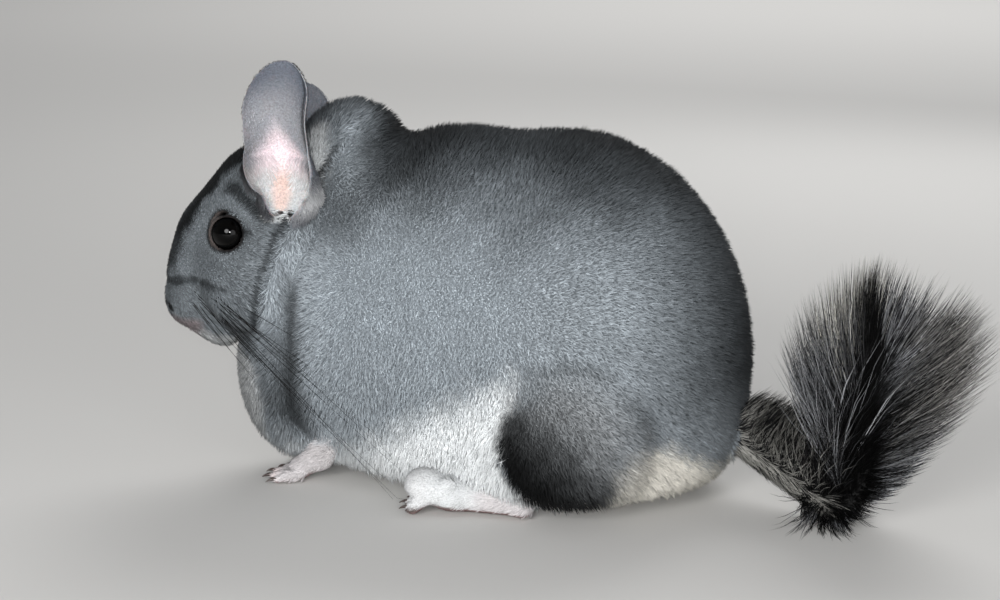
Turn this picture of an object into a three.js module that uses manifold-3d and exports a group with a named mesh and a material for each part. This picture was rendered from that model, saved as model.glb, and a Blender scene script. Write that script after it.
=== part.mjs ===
// A standard grey chinchilla at rest, life size: a still display model, crouched with its tail curled up.
// Millimetres, +Z up. The animal faces -X with its left side towards -Y.
// The origin is on the floor, under the middle of the whole.
import * as THREE from "three";
import { mergeVertices } from "three/addons/utils/BufferGeometryUtils.js";
import Module from "manifold-3d";

const wasm = await Module();
wasm.setup();

// Driving dimensions, in millimetres, with the coat included
const BODY_LENGTH = 222; // nose to rump, crouched
const BACK_HEIGHT = 133.5;
const RUMP_X = 93.5;
const NOSE_X = RUMP_X - BODY_LENGTH;
const BODY_HALF_WIDTH = 63;
const EYE_RADIUS = 7.3;
const EAR_LENGTH = 64;
const EAR_HALF_WIDTH = 15; // along the curve of the ear
const EAR_THICKNESS = 1.5;
const HIND_FOOT_LENGTH = 52;
const GAP = 0.3; // between pieces that touch
const HALF_GAP = GAP / 2;
const WELD = 1e-3; // corners closer than this are one
const FAR = 700; // larger than the animal, for the solids that cut it

// How fine the cast surfaces are: an icosahedron's edge is split this many times
const DETAIL = { body: 8, neck: 6, head: 8 };

const SIDES = { left: -1, right: 1 };

const COLOURS = {
  coat: 0x7d828a,
  mantle: 0x6a6f77,
  face: 0x6d737b,
  haunch: 0x5f6369,
  paw: 0xd5d3d4,
  ear: 0xa7a5ad,
  eye: 0x0a0808,
  tail: 0x4c4d4f,
  plume: 0x5a5a5a,
};

function material(colour, roughness = 0.9) {
  return new THREE.MeshStandardMaterial({ color: colour, roughness, metalness: 0 });
}

const vec = (x, y, z) => new THREE.Vector3(x, y, z);
const UP = vec(0, 0, 1);
const onSide = ([x, y, z], side) => [x, side * y, z];
const lerp = THREE.MathUtils.lerp;
const radians = THREE.MathUtils.degToRad;

// A seeded draw, from 0 to 1
function seededDraw(seed) {
  let state = seed;
  return () => {
    state = (state * 1664525 + 1013904223) % 4294967296;
    return state / 4294967296;
  };
}

// Solids from three.js geometry, and back

function solidOf(geometry) {
  const bare = geometry.clone();
  for (const name of Object.keys(bare.attributes)) {
    if (name !== "position") bare.deleteAttribute(name);
  }
  const merged = mergeVertices(bare, WELD);
  return new wasm.Manifold(
    new wasm.Mesh({
      numProp: 3,
      vertProperties: new Float32Array(merged.getAttribute("position").array),
      triVerts: new Uint32Array(merged.index.array),
    }),
  );
}

function geometryOf(solid) {
  const mesh = solid.getMesh();
  const geometry = new THREE.BufferGeometry();
  geometry.setAttribute("position", new THREE.BufferAttribute(new Float32Array(mesh.vertProperties), 3));
  geometry.setIndex(new THREE.BufferAttribute(new Uint32Array(mesh.triVerts), 1));
  geometry.computeVertexNormals();
  return geometry;
}

// The largest closed surface of a solid, with any sealed hollow filled
function largest(solid) {
  return solid.decompose().reduce((best, piece) => (piece.volume() > best.volume() ? piece : best));
}

function joined(solids) {
  return solids.reduce((sum, piece) => sum.add(piece));
}

function addMesh(group, name, solid, colour, roughness) {
  const mesh = new THREE.Mesh(geometryOf(largest(solid)), material(colour, roughness));
  mesh.name = name;
  group.add(mesh);
}

// A half space as a large box: everything on the side of the plane that the normal points to
function halfSpace(point, normal) {
  const direction = normal.clone().normalize();
  const box = new THREE.BoxGeometry(FAR, FAR, FAR);
  const turn = new THREE.Quaternion().setFromUnitVectors(vec(0, 0, 1), direction);
  const centre = point.clone().addScaledVector(direction, FAR / 2);
  box.applyMatrix4(new THREE.Matrix4().compose(centre, turn, vec(1, 1, 1)));
  return solidOf(box);
}

const ABOVE_FLOOR = halfSpace(vec(0, 0, 0), vec(0, 0, 1));

// Rounded forms: fields that are negative inside, joined softly and cast onto a closed surface

// An ellipsoid's field. pitch turns it about Y, in degrees, and paired makes a second one on the other side.
function blob(at, radii, { pitch = 0, paired = false } = {}) {
  const c = Math.cos(radians(pitch));
  const s = Math.sin(radians(pitch));
  const [rx, ry, rz] = radii;
  return (p) => {
    const x0 = p.x - at[0];
    const y = (paired ? Math.abs(p.y) : p.y) - at[1];
    const z0 = p.z - at[2];
    const x = x0 * c - z0 * s;
    const z = x0 * s + z0 * c;
    const near = Math.hypot(x / rx, y / ry, z / rz);
    const slope = Math.hypot(x / (rx * rx), y / (ry * ry), z / (rz * rz));
    return slope < 1e-9 ? -Math.min(rx, ry, rz) : (near * (near - 1)) / slope;
  };
}

function softMin(a, b, blend) {
  const h = Math.max(blend - Math.abs(a - b), 0) / blend;
  return Math.min(a, b) - (h * h * blend) / 4;
}

function softMax(a, b, blend) {
  return -softMin(-a, -b, blend);
}

function softUnion(blend, fields) {
  return (p) => fields.map((field) => field(p)).reduce((a, b) => softMin(a, b, blend));
}

// How far the ray from centre runs before it leaves the field
function reachAlong(field, centre, ray, grow) {
  const step = 2;
  const halvings = 24;
  const p = vec(0, 0, 0);
  const value = (t) => field(p.copy(centre).addScaledVector(ray, t)) - grow;
  let out = step;
  while (value(out) < 0 && out < FAR) out += step;
  let inside = out - step;
  for (let i = 0; i < halvings; i++) {
    const middle = (inside + out) / 2;
    if (value(middle) < 0) inside = middle;
    else out = middle;
  }
  return (inside + out) / 2;
}

// The point where the ray from centre through target leaves the field
function onSurface(field, centre, target, grow = 0) {
  const ray = target.clone().sub(centre).normalize();
  return centre.clone().addScaledVector(ray, reachAlong(field, centre, ray, grow));
}

// The field's surface as a closed mesh, seen from the centre
function castSolid(field, centre, detail, grow = 0) {
  const geometry = new THREE.IcosahedronGeometry(1, detail);
  const position = geometry.getAttribute("position");
  const ray = vec(0, 0, 0);
  for (let i = 0; i < position.count; i++) {
    ray.fromBufferAttribute(position, i).normalize();
    ray.multiplyScalar(reachAlong(field, centre, ray, grow)).add(centre);
    position.setXYZ(i, ray.x, ray.y, ray.z);
  }
  return solidOf(geometry);
}

// An ellipsoid as a mesh, for small forms and cutters
function egg(at, radii, { pitch = 0, yaw = 0, around = 14, along = 9, grow = 0 } = {}) {
  const geometry = new THREE.SphereGeometry(1, around, along);
  geometry.scale(radii[0] + grow, radii[1] + grow, radii[2] + grow);
  geometry.rotateY(radians(pitch));
  geometry.rotateZ(radians(yaw));
  geometry.translate(...at);
  return solidOf(geometry);
}

// A round-ended limb that tapers from one point to another
function limb(from, to, radiusFrom, radiusTo, { around = 10, arc = 3 } = {}) {
  const axis = to.clone().sub(from);
  const length = axis.length();
  const profile = [];
  for (let i = 0; i <= arc; i++) {
    const angle = (i / arc) * (Math.PI / 2);
    profile.push(new THREE.Vector2(radiusFrom * Math.sin(angle), -radiusFrom * Math.cos(angle)));
  }
  for (let i = 0; i <= arc; i++) {
    const angle = (i / arc) * (Math.PI / 2);
    profile.push(new THREE.Vector2(radiusTo * Math.cos(angle), length + radiusTo * Math.sin(angle)));
  }
  profile[0].x = 0;
  profile[profile.length - 1].x = 0;
  const geometry = new THREE.LatheGeometry(profile, around);
  const turn = new THREE.Quaternion().setFromUnitVectors(vec(0, 1, 0), axis.normalize());
  geometry.applyMatrix4(new THREE.Matrix4().compose(from, turn, vec(1, 1, 1)));
  return solidOf(geometry);
}

// Trunk: rump, back, shoulders, chest and nape in one soft form, with the haunches standing out of its sides

const TRUNK_CENTRE = vec(2, 0, 64);
const NECK_CENTRE = vec(-52, 0, 78);
const HAUNCH = { at: [30, 45, 30], radii: [33, 21, 33] };
const BELLY = { middle: [-2, 0], rise: 700, sink: 0.8 }; // a shallow curve, cut flat where it meets the floor

const trunkMass = softUnion(10, [
  blob([RUMP_X - 70, 0, 48], [70, BODY_HALF_WIDTH - 1, BACK_HEIGHT - 49]),
  blob([-14, 0, 58], [58, 51, BACK_HEIGHT - 58.5]),
  blob([-44, 0, 58], [40, 43, 58]),
  blob([-68, 0, 42], [31, 31, 41]),
  blob([-55, 0, 107], [25.5, 27, 34.3]),
]);
const haunchMass = blob(HAUNCH.at, HAUNCH.radii, { paired: true });

function trunkField(p) {
  const [mx, my] = BELLY.middle;
  const underside = ((p.x - mx) ** 2 + (p.y - my) ** 2) / (2 * BELLY.rise) - BELLY.sink - p.z;
  const mass = softMin(trunkMass(p), haunchMass(p), 5);
  return softMax(mass, underside, 8);
}

// Where the trunk is parted: the neck from the torso, and each haunch from its side
const NAPE_END = vec(-36, 0, 131);
const CHEST_END = vec(-66, 0, 20);
const HAUNCH_CUT = { at: [29, 62, 27], radii: [36, 31, 37] };

// Head: cranium, cheeks, bridge, muzzle and chin

const HEAD_CENTRE = vec(-95, 0, 86);
const headField = softUnion(7, [
  blob([-84, 0, 97.5], [28.5, 27, 28.5]),
  blob([-102, 0, 88], [25, 18, 22.5], { pitch: -40 }),
  blob([-91, 12.5, 76], [20, 15, 22], { paired: true }),
  blob([NOSE_X + 17.5, 0, 68], [17, 12.5, 16], { pitch: -25 }),
  blob([NOSE_X + 8, 5, 63], [8, 7.5, 8], { paired: true }),
  blob([-108, 0, 56], [12, 9, 9.5], { pitch: -20 }),
]);

const EYE = { x: -97.5, y: 18.4, z: 92.7, outward: [-0.26, 0.94, 0.22] };
const LID = { ring: 6.5, thickness: 1.25, lift: 3.6 };

function eyeCentre(side) {
  return vec(EYE.x, side * EYE.y, EYE.z);
}

function eyeAxis(side) {
  return vec(EYE.outward[0], side * EYE.outward[1], EYE.outward[2]).normalize();
}

function eyeball(side, grow = 0) {
  const centre = eyeCentre(side);
  const geometry = new THREE.SphereGeometry(EYE_RADIUS + grow, 14, 10);
  const turn = new THREE.Quaternion().setFromUnitVectors(vec(0, 1, 0), eyeAxis(side));
  geometry.applyMatrix4(new THREE.Matrix4().compose(centre, turn, vec(1, 1, 1)));
  return solidOf(geometry);
}

function lidRing(side) {
  const geometry = new THREE.TorusGeometry(LID.ring, LID.thickness, 6, 18);
  const turn = new THREE.Quaternion().setFromUnitVectors(vec(0, 0, 1), eyeAxis(side));
  const centre = eyeCentre(side).addScaledVector(eyeAxis(side), LID.lift);
  geometry.applyMatrix4(new THREE.Matrix4().compose(centre, turn, vec(1, 1, 1)));
  return solidOf(geometry);
}

// A groove cut into the face along a route of points that are set on its surface
function groove(route, width) {
  const points = route.map((target) => onSurface(headField, HEAD_CENTRE, target));
  const section = new THREE.Shape();
  section.moveTo(width, 0);
  section.lineTo(0, width);
  section.lineTo(-width, 0);
  section.lineTo(0, -width);
  const path = new THREE.CatmullRomCurve3(points);
  return solidOf(new THREE.ExtrudeGeometry(section, { steps: points.length * 2, extrudePath: path }));
}

const MOUTH = { front: [-124, 0, 56.5], side: [-119, 6.2, 55], corner: [-112, 9.5, 53.5], width: 0.75 };
const CLEFT = { top: [-130, 0, 63.5], middle: [-128, 0, 60], width: 0.6 };
const NOSTRIL = { at: [NOSE_X + 1.6, 2.6, 67], radii: [2.6, 1.0, 1.5], yaw: 35, pitch: -30 };

function makeHead() {
  let head = castSolid(headField, HEAD_CENTRE, DETAIL.head);
  for (const side of Object.values(SIDES)) {
    head = head.add(lidRing(side));
  }
  for (const side of Object.values(SIDES)) {
    head = head.subtract(eyeball(side, GAP));
    const turned = { yaw: side * NOSTRIL.yaw, pitch: NOSTRIL.pitch, around: 8, along: 6 };
    head = head.subtract(egg(onSide(NOSTRIL.at, side), NOSTRIL.radii, turned));
  }
  const [corner, cheek] = [MOUTH.corner, MOUTH.side];
  const lips = [onSide(corner, -1), onSide(cheek, -1), MOUTH.front, cheek, corner].map((at) => vec(...at));
  const cleft = [CLEFT.top, CLEFT.middle, MOUTH.front].map((at) => vec(...at));
  return head.subtract(groove(lips, MOUTH.width)).subtract(groove(cleft, CLEFT.width));
}

// The head's back end, deep in the neck, is a plane
const HEAD_BACK = { point: vec(-66, 0, 92), normal: vec(-0.9, 0, -0.15) };

// Ears: long cups, open to the side, rolled into a funnel at the root

// bow is how far the middle of an ear stands off the line from its root to its tip, towards the nose
const EARS = {
  left: { root: vec(-82.5, -19, 97), tip: vec(-78, -42, 157), facing: vec(-0.33, -0.92, 0.18), bow: -3.2 },
  right: { root: vec(-81, 18, 95), tip: vec(-87, 61, 138), facing: vec(-0.4, 0.7, -0.5), bow: 2 },
};

// Shares of the ear's length and of its half width, and how round its top is
const EAR_SHAPE = { rootWidth: 0.62, widestAt: 0.55, topFrom: 0.62, roundness: 2.2 };
const EAR_ROLL = { root: 1.9, top: 0.62, openAt: 0.65 }; // angles are radians, as half the cup's arc
const EAR_ROOT = { thickening: 2.2, fadesOver: 0.4 };

// Half the ear's width along its curve, at a share of its length from the root
function earHalfWidth(t) {
  const { rootWidth, widestAt, topFrom, roundness } = EAR_SHAPE;
  const swell = lerp(rootWidth, 1, THREE.MathUtils.smoothstep(t, 0, widestAt));
  const top = Math.sqrt(Math.max(0, 1 - Math.pow(Math.max(0, (t - topFrom) / (1 - topFrom)), roundness)));
  return EAR_HALF_WIDTH * swell * top;
}

// How far the ear's edges are rolled in, as half an angle, at a share of its length
function earRoll(t) {
  return lerp(EAR_ROLL.root, EAR_ROLL.top, THREE.MathUtils.smoothstep(t, 0, EAR_ROLL.openAt));
}

function makeEar({ root, tip, facing, bow }) {
  const up = tip.clone().sub(root).normalize();
  const across = vec(0, 0, 0).crossVectors(up, facing).normalize();
  const out = vec(0, 0, 0).crossVectors(across, up).normalize();
  const geometry = new THREE.SphereGeometry(1, 16, 14);
  const position = geometry.getAttribute("position");
  const p = vec(0, 0, 0);
  for (let i = 0; i < position.count; i++) {
    p.fromBufferAttribute(position, i);
    const t = (p.y + 1) / 2;
    const ring = Math.sqrt(Math.max(1e-9, 1 - p.y * p.y));
    const share = ring < 1e-3 ? 0 : p.x / ring;
    const face = ring < 1e-3 ? 0 : p.z / ring;
    const half = Math.max(earHalfWidth(t), 0.05);
    const roll = earRoll(t);
    const radius = half / roll;
    const angle = share * roll;
    const thickening = lerp(EAR_ROOT.thickening, 1, Math.min(1, t / EAR_ROOT.fadesOver));
    const arc = radius - (EAR_THICKNESS / 2) * thickening * face * Math.min(1, ring * 2);
    const place = root.clone().addScaledVector(up, t * EAR_LENGTH);
    place.addScaledVector(across, arc * Math.sin(angle) + bow * Math.sin(Math.PI * t));
    place.addScaledVector(out, radius / 2 - arc * Math.cos(angle));
    position.setXYZ(i, place.x, place.y, place.z);
  }
  return solidOf(geometry);
}

// Legs

const FRONT_LEGS = {
  left: { elbow: vec(-50, -24, 32), wrist: vec(-64, -18, 9.5), palm: vec(-71, -17, 4.6), heading: 181 },
  right: { elbow: vec(-52, 26, 32), wrist: vec(-64, 19, 9.5), palm: vec(-70, 19, 4.6), heading: 178 },
};
const FOREARM = { top: 12, bottom: 6 };
const PALM = { radii: [7.5, 5.6, 4.8], wrist: 4.8, root: 4, toeRise: 1.2 };
const FINGERS = { shares: [0.85, 1, 1, 0.85], length: 10, radius: 2.2, spread: 58 };

const HIND_LEGS = {
  left: { heel: vec(24, -49, 6), heading: 169 },
  right: { heel: vec(24, 49, 6), heading: 191 },
};
const SOLE = { heel: 6.5, ball: 6.2, ballHeight: 5.3, toeRise: 2.6 };
const TOES = { shares: [0.6, 0.95, 1, 0.92], length: 14, radius: 3.1, spread: 36 };
const TOE_TAPER = 0.78; // a toe's radius at its end, as a share of the radius at its root
const TOE_ROOTS_APART = 4.2; // between the outer toes, in toe radii
const CLAW = { length: 3.4, radius: 0.9, droop: 0.18, sunk: 0.4 }; // sunk is in toe radii

function headingVector(degrees) {
  return vec(Math.cos(radians(degrees)), Math.sin(radians(degrees)), 0);
}

// The toes of one foot: where each starts and ends, fanned about the foot's heading
function toeLines(root, heading, inward, digits, rise) {
  return digits.shares.map((size, i) => {
    const share = i / (digits.shares.length - 1) - 0.5;
    const turn = heading - inward * share * digits.spread;
    const aside = -inward * share * digits.radius * TOE_ROOTS_APART;
    const start = root.clone().addScaledVector(headingVector(heading + 90), aside);
    const end = start.clone().addScaledVector(headingVector(turn), digits.length * size);
    start.z = rise + digits.radius * TOE_TAPER;
    end.z = digits.radius * TOE_TAPER;
    return { start, end };
  });
}

function toeSolids(lines, radius, grow = 0) {
  const endRadius = radius * TOE_TAPER + grow;
  return lines.map(({ start, end }) => limb(start, end, radius + grow, endRadius, { around: 7, arc: 2 }));
}

function clawSolid({ start, end }, radius, grow) {
  const along = end.clone().sub(start).setZ(0).normalize();
  const root = end.clone().addScaledVector(along, radius * CLAW.sunk);
  root.z = radius;
  const length = CLAW.length + radius * CLAW.sunk;
  const cone = new THREE.ConeGeometry(CLAW.radius + grow, length, 4, 1);
  const direction = along.clone().setZ(-CLAW.droop).normalize();
  const turn = new THREE.Quaternion().setFromUnitVectors(vec(0, 1, 0), direction);
  const centre = root.clone().addScaledVector(direction, length / 2);
  cone.applyMatrix4(new THREE.Matrix4().compose(centre, turn, vec(1, 1, 1)));
  return solidOf(cone);
}

function frontPaw(leg, side, grow = 0) {
  const { wrist, palm, heading } = leg;
  const lines = toeLines(palm, heading, side, FINGERS, PALM.toeRise);
  const pad = egg(palm.toArray(), PALM.radii, { yaw: heading, around: 10, along: 7, grow });
  const root = limb(wrist, palm, PALM.wrist + grow, PALM.root + grow, { around: 8, arc: 2 });
  const claws = lines.map((line) => clawSolid(line, FINGERS.radius * TOE_TAPER, grow));
  return joined([pad, root, ...toeSolids(lines, FINGERS.radius, grow), ...claws]);
}

function hindFoot(leg, side, grow = 0) {
  const { heel, heading } = leg;
  const forward = headingVector(heading);
  const soleLength = HIND_FOOT_LENGTH - SOLE.heel - TOES.length - CLAW.length;
  const ball = heel.clone().addScaledVector(forward, soleLength);
  ball.z = SOLE.ballHeight;
  const lines = toeLines(ball, heading, side, TOES, SOLE.toeRise);
  const sole = limb(heel, ball, SOLE.heel + grow, SOLE.ball + grow, { around: 12, arc: 3 });
  const claws = lines.map((line) => clawSolid(line, TOES.radius * TOE_TAPER, grow));
  return joined([sole, ...toeSolids(lines, TOES.radius, grow), ...claws]);
}

// Tail: an axis that runs back from the rump, touches down at its bend and curls up

const TAIL_AXIS = new THREE.CatmullRomCurve3([
  vec(78, 1, 27),
  vec(91, -3, 21.5),
  vec(102, -12, 17),
  vec(113, -22, 12.6),
  vec(123, -31, 9),
  vec(130.5, -36, 9.8),
  vec(133.5, -38, 20),
  vec(134, -38.5, 34),
  vec(136, -38.5, 48),
  vec(140, -38, 61),
]);
const TAIL_CORE = { root: 9.5, bend: 9.2, tip: 4 };
const BEND_AT = 0.52; // the middle of the bend, as a share of the axis
const TIP_AT = 0.78; // where the last length begins
const BEND_CUT = vec(0.97, -0.15, 0.18).normalize(); // across the inner corner of the bend
const PAST_CUT = 0.05; // how far each length is made past the cut that ends it
const TIP_CONE = 40; // half the angle, in degrees, of the cone between the last two lengths

// The long hair: flat, tapered locks in rings round the tail's body, out to the surface of a plume
const LOCKS = {
  width: 13,
  thickness: 4.4,
  rootWidth: 0.55, // as a share of the width
  roll: 0.9, // how far a lock's flat side may turn about its own direction, in radians, either way
  sunk: 0.5, // how far out in the tail's body a lock is rooted, as a share of its radius
  curl: 0.12, // how far a lock bends towards the tail's own direction
  lengthVary: 0.1,
  turnVary: 0.15,
  underLimit: 0.35, // no lock grows further towards the underside or the floor than these
  downLimit: -0.5,
  seed: 20,
};
const PLUME = {
  at: [143, -34, 53],
  radii: [40, 29, 44],
  underEdge: vec(145, -34, 8),
  underNormal: vec(0.82, 0, -0.57),
  blend: 8,
};

// The tail's half thickness at a share of its length, without its long hair
function coreRadius(t) {
  if (t < BEND_AT) return lerp(TAIL_CORE.root, TAIL_CORE.bend, t / BEND_AT);
  return lerp(TAIL_CORE.bend, TAIL_CORE.tip, (t - BEND_AT) / (1 - BEND_AT));
}

// A length of the tail's body, from one share of its axis to another
function tailCore(from, to, around = 10, steps = 8) {
  const geometry = new THREE.CylinderGeometry(1, 1, 1, around, steps);
  const position = geometry.getAttribute("position");
  const p = vec(0, 0, 0);
  for (let i = 0; i < position.count; i++) {
    p.fromBufferAttribute(position, i);
    const t = lerp(from, to, p.y + 0.5);
    const along = TAIL_AXIS.getTangentAt(t);
    const turn = new THREE.Quaternion().setFromUnitVectors(vec(0, 1, 0), along);
    const place = vec(p.x, 0, p.z).multiplyScalar(coreRadius(t)).applyQuaternion(turn);
    position.setXYZ(i, ...place.add(TAIL_AXIS.getPointAt(t)).toArray());
  }
  return solidOf(geometry);
}

// How wide a lock is at a share of its length, from root to point
function lockSwell(t) {
  return t > 0.99 ? 0 : lerp(LOCKS.rootWidth, 1, Math.sin(Math.PI * t));
}

// A flat blade of hair that widens, tapers to a point and bends a little
function lock(root, direction, radial, curl, length, roll) {
  const side = vec(0, 0, 0).crossVectors(direction, radial).normalize().applyAxisAngle(direction, roll);
  const face = vec(0, 0, 0).crossVectors(side, direction).normalize();
  const geometry = new THREE.ConeGeometry(1, 1, 4, 3);
  const position = geometry.getAttribute("position");
  const p = vec(0, 0, 0);
  for (let i = 0; i < position.count; i++) {
    p.fromBufferAttribute(position, i);
    const t = p.y + 0.5;
    const ring = Math.max(Math.hypot(p.x, p.z), 1e-6);
    const spine = root.clone().addScaledVector(direction, length * t).addScaledVector(curl, length * t * t);
    spine.addScaledVector(side, ((p.x / ring) * lockSwell(t) * LOCKS.width) / 2);
    spine.addScaledVector(face, ((p.z / ring) * lockSwell(t) * LOCKS.thickness) / 2);
    position.setXYZ(i, spine.x, spine.y, spine.z);
  }
  return solidOf(geometry);
}

const plumeMass = blob(PLUME.at, PLUME.radii);

function plumeField(p) {
  return softMax(plumeMass(p), p.clone().sub(PLUME.underEdge).dot(PLUME.underNormal), PLUME.blend);
}

// Rings of locks between two shares of the tail, each ring turned by half a step from the last.
// under is the side where the hair stays short, and lift turns the locks up.
function lockRings({ from, to, rings, around, lean, under, lift, lengths }, draw) {
  const locks = [];
  const vary = (amount) => (draw() - 0.5) * 2 * amount;
  for (let ring = 0; ring < rings; ring++) {
    const share = ring / (rings - 1);
    const t = lerp(from, to, share);
    const at = TAIL_AXIS.getPointAt(t);
    const along = TAIL_AXIS.getTangentAt(t);
    const across = vec(0, 0, 0).crossVectors(under, along).normalize();
    const back = vec(0, 0, 0).crossVectors(across, along).normalize();
    const angle = radians(lerp(lean[0], lean[1], share));
    const curl = along.clone().multiplyScalar(LOCKS.curl);
    for (let i = 0; i < around; i++) {
      const turn = ((i + (ring % 2) / 2 + vary(LOCKS.turnVary)) / around) * 2 * Math.PI;
      const stretch = 1 + vary(LOCKS.lengthVary);
      const roll = vary(LOCKS.roll);
      const radial = across.clone().multiplyScalar(Math.cos(turn)).addScaledVector(back, Math.sin(turn));
      if (radial.dot(under) > LOCKS.underLimit || radial.z < LOCKS.downLimit) continue;
      const direction = along.clone().multiplyScalar(Math.cos(angle));
      direction.addScaledVector(radial, Math.sin(angle)).addScaledVector(UP, lift).normalize();
      const root = at.clone().addScaledVector(radial, coreRadius(t) * LOCKS.sunk);
      const toPlume = () => reachAlong(plumeField, root, direction.clone().add(curl), 0);
      const reach = lengths ? lengths(share) : toPlume();
      locks.push(lock(root, direction, radial, curl, reach * stretch, roll));
    }
  }
  return locks;
}

const BASE_HAIR = {
  from: 0.12,
  to: 0.43,
  rings: 5,
  around: 7,
  lean: [30, 90],
  under: vec(0, 0, -1),
  lift: 0.7,
  lengths: (share) => lerp(20, 36, share),
};
const MIDDLE_HAIR = {
  from: 0.56,
  to: 0.76,
  rings: 5,
  around: 8,
  lean: [56, 46],
  under: vec(0, -1, 0),
  lift: 0.1,
};
const TIP_HAIR = {
  from: 0.81,
  to: 0.99,
  rings: 4,
  around: 7,
  lean: [44, 12],
  under: vec(0, -1, 0),
  lift: 0.1,
};

// The two sides of a flat cut across the tail, with half the gap on each
function flatCut(point, normal) {
  return {
    before: halfSpace(point.clone().addScaledVector(normal, -HALF_GAP), normal.clone().negate()),
    after: halfSpace(point.clone().addScaledVector(normal, HALF_GAP), normal),
  };
}

// A cone that opens towards the tip along the lie of the hair. grow moves its wall out.
function hairCone(at, angle, grow) {
  const height = 150; // past the end of the hair
  const along = TAIL_AXIS.getTangentAt(at);
  const slope = Math.tan(radians(angle));
  const back = coreRadius(at) / slope + grow / Math.sin(radians(angle));
  const apex = TAIL_AXIS.getPointAt(at).addScaledVector(along, -back);
  const cone = new THREE.ConeGeometry(height * slope, height, 28, 1);
  const turn = new THREE.Quaternion().setFromUnitVectors(vec(0, -1, 0), along);
  const centre = apex.clone().addScaledVector(along, height / 2);
  cone.applyMatrix4(new THREE.Matrix4().compose(centre, turn, vec(1, 1, 1)));
  return solidOf(cone);
}

function makeTail(group, trunkRoom) {
  const draw = seededDraw(LOCKS.seed);
  const bend = flatCut(TAIL_AXIS.getPointAt(BEND_AT), BEND_CUT);
  const base = joined([tailCore(0, BEND_AT + PAST_CUT), ...lockRings(BASE_HAIR, draw)]);
  const middle = joined([tailCore(BEND_AT - PAST_CUT, TIP_AT + PAST_CUT), ...lockRings(MIDDLE_HAIR, draw)]);
  const tip = joined([tailCore(TIP_AT - PAST_CUT, 1, 8, 2), ...lockRings(TIP_HAIR, draw)]);
  const clearBase = base.intersect(bend.before).subtract(trunkRoom);
  const clearMiddle = middle.intersect(bend.after).subtract(hairCone(TIP_AT, TIP_CONE, HALF_GAP));
  addMesh(group, "tail_base", clearBase.intersect(ABOVE_FLOOR), COLOURS.tail);
  addMesh(group, "tail_middle", clearMiddle.intersect(ABOVE_FLOOR), COLOURS.plume);
  addMesh(group, "tail_tip", tip.intersect(hairCone(TIP_AT, TIP_CONE, -HALF_GAP)), COLOURS.plume);
}

function makeLegs(group, name, side, trunkRoom) {
  const foot = HIND_LEGS[name];
  const leg = FRONT_LEGS[name];
  const pawRoom = frontPaw(leg, side, GAP);
  const forearm = limb(leg.elbow, leg.wrist, FOREARM.top, FOREARM.bottom, { around: 12, arc: 2 });
  const clearForearm = forearm.subtract(trunkRoom).subtract(pawRoom).intersect(ABOVE_FLOOR);
  addMesh(group, `hind_foot_${name}`, hindFoot(foot, side).intersect(ABOVE_FLOOR), COLOURS.paw);
  addMesh(group, `foreleg_${name}`, clearForearm, COLOURS.mantle);
  const paw = frontPaw(leg, side).subtract(trunkRoom).intersect(ABOVE_FLOOR);
  addMesh(group, `front_paw_${name}`, paw, COLOURS.paw);
}

function makeChinchilla() {
  const group = new THREE.Group();
  const trunk = castSolid(trunkField, TRUNK_CENTRE, DETAIL.body).intersect(ABOVE_FLOOR);
  const trunkRoom = castSolid(trunkField, TRUNK_CENTRE, DETAIL.body, GAP).add(
    castSolid(trunkField, NECK_CENTRE, DETAIL.neck, GAP),
  );
  const headRoom = castSolid(headField, HEAD_CENTRE, DETAIL.head, GAP).intersect(
    halfSpace(HEAD_BACK.point.clone().addScaledVector(HEAD_BACK.normal, -GAP), HEAD_BACK.normal),
  );

  // The neck ends behind the nape and behind the chest
  const neckNormal = vec(CHEST_END.z - NAPE_END.z, 0, NAPE_END.x - CHEST_END.x).normalize();
  const neckSide = halfSpace(NAPE_END.clone().addScaledVector(neckNormal, HALF_GAP), neckNormal);
  const torsoStart = NAPE_END.clone().addScaledVector(neckNormal, -HALF_GAP);
  const torsoSide = halfSpace(torsoStart, neckNormal.clone().negate());

  addMesh(group, "head", makeHead().intersect(halfSpace(HEAD_BACK.point, HEAD_BACK.normal)), COLOURS.face);
  const neck = castSolid(trunkField, NECK_CENTRE, DETAIL.neck).intersect(ABOVE_FLOOR);
  addMesh(group, "neck", neck.intersect(neckSide).subtract(headRoom), COLOURS.mantle);

  let torso = trunk.intersect(torsoSide);
  for (const [name, side] of Object.entries(SIDES)) {
    const at = onSide(HAUNCH_CUT.at, side);
    const footRoom = hindFoot(HIND_LEGS[name], side, GAP);
    const haunch = trunk.intersect(egg(at, HAUNCH_CUT.radii, { around: 18, along: 12 }));
    const haunchRoom = egg(at, HAUNCH_CUT.radii, { around: 18, along: 12, grow: GAP });
    torso = torso.subtract(haunchRoom).subtract(footRoom);
    addMesh(group, `haunch_${name}`, haunch.subtract(footRoom), COLOURS.haunch);
    addMesh(group, `eye_${name}`, eyeball(side), COLOURS.eye, 0.08);
    const ear = makeEar(EARS[name]).subtract(headRoom).subtract(trunkRoom);
    addMesh(group, `ear_${name}`, ear, COLOURS.ear);
    makeLegs(group, name, side, trunkRoom);
  }
  addMesh(group, "torso", torso, COLOURS.coat);
  makeTail(group, trunkRoom);

  // The origin goes to the middle of the whole, on the floor
  const middle = new THREE.Box3().setFromObject(group).getCenter(vec(0, 0, 0));
  group.position.set(-middle.x, -middle.y, 0);
  return group;
}

export default makeChinchilla();
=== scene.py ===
"""A grey chinchilla crouched at rest: a life-size still model with its skin, coat and bushy tail.

Shapes are worked out in millimetres on the maker's own axes: the nose points to -X, the left side is
towards -Y and the floor is at z = 0. The Bench turns them into the frame's metres. Points, directions
and colours are arrays with one a row, and a field gives the signed distance at each point.
"""

import logging
import math
from dataclasses import dataclass, field
from enum import Enum
from typing import Callable

import bmesh
import bpy
import numpy as np
import openvdb
from mathutils import Matrix, Vector


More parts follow.
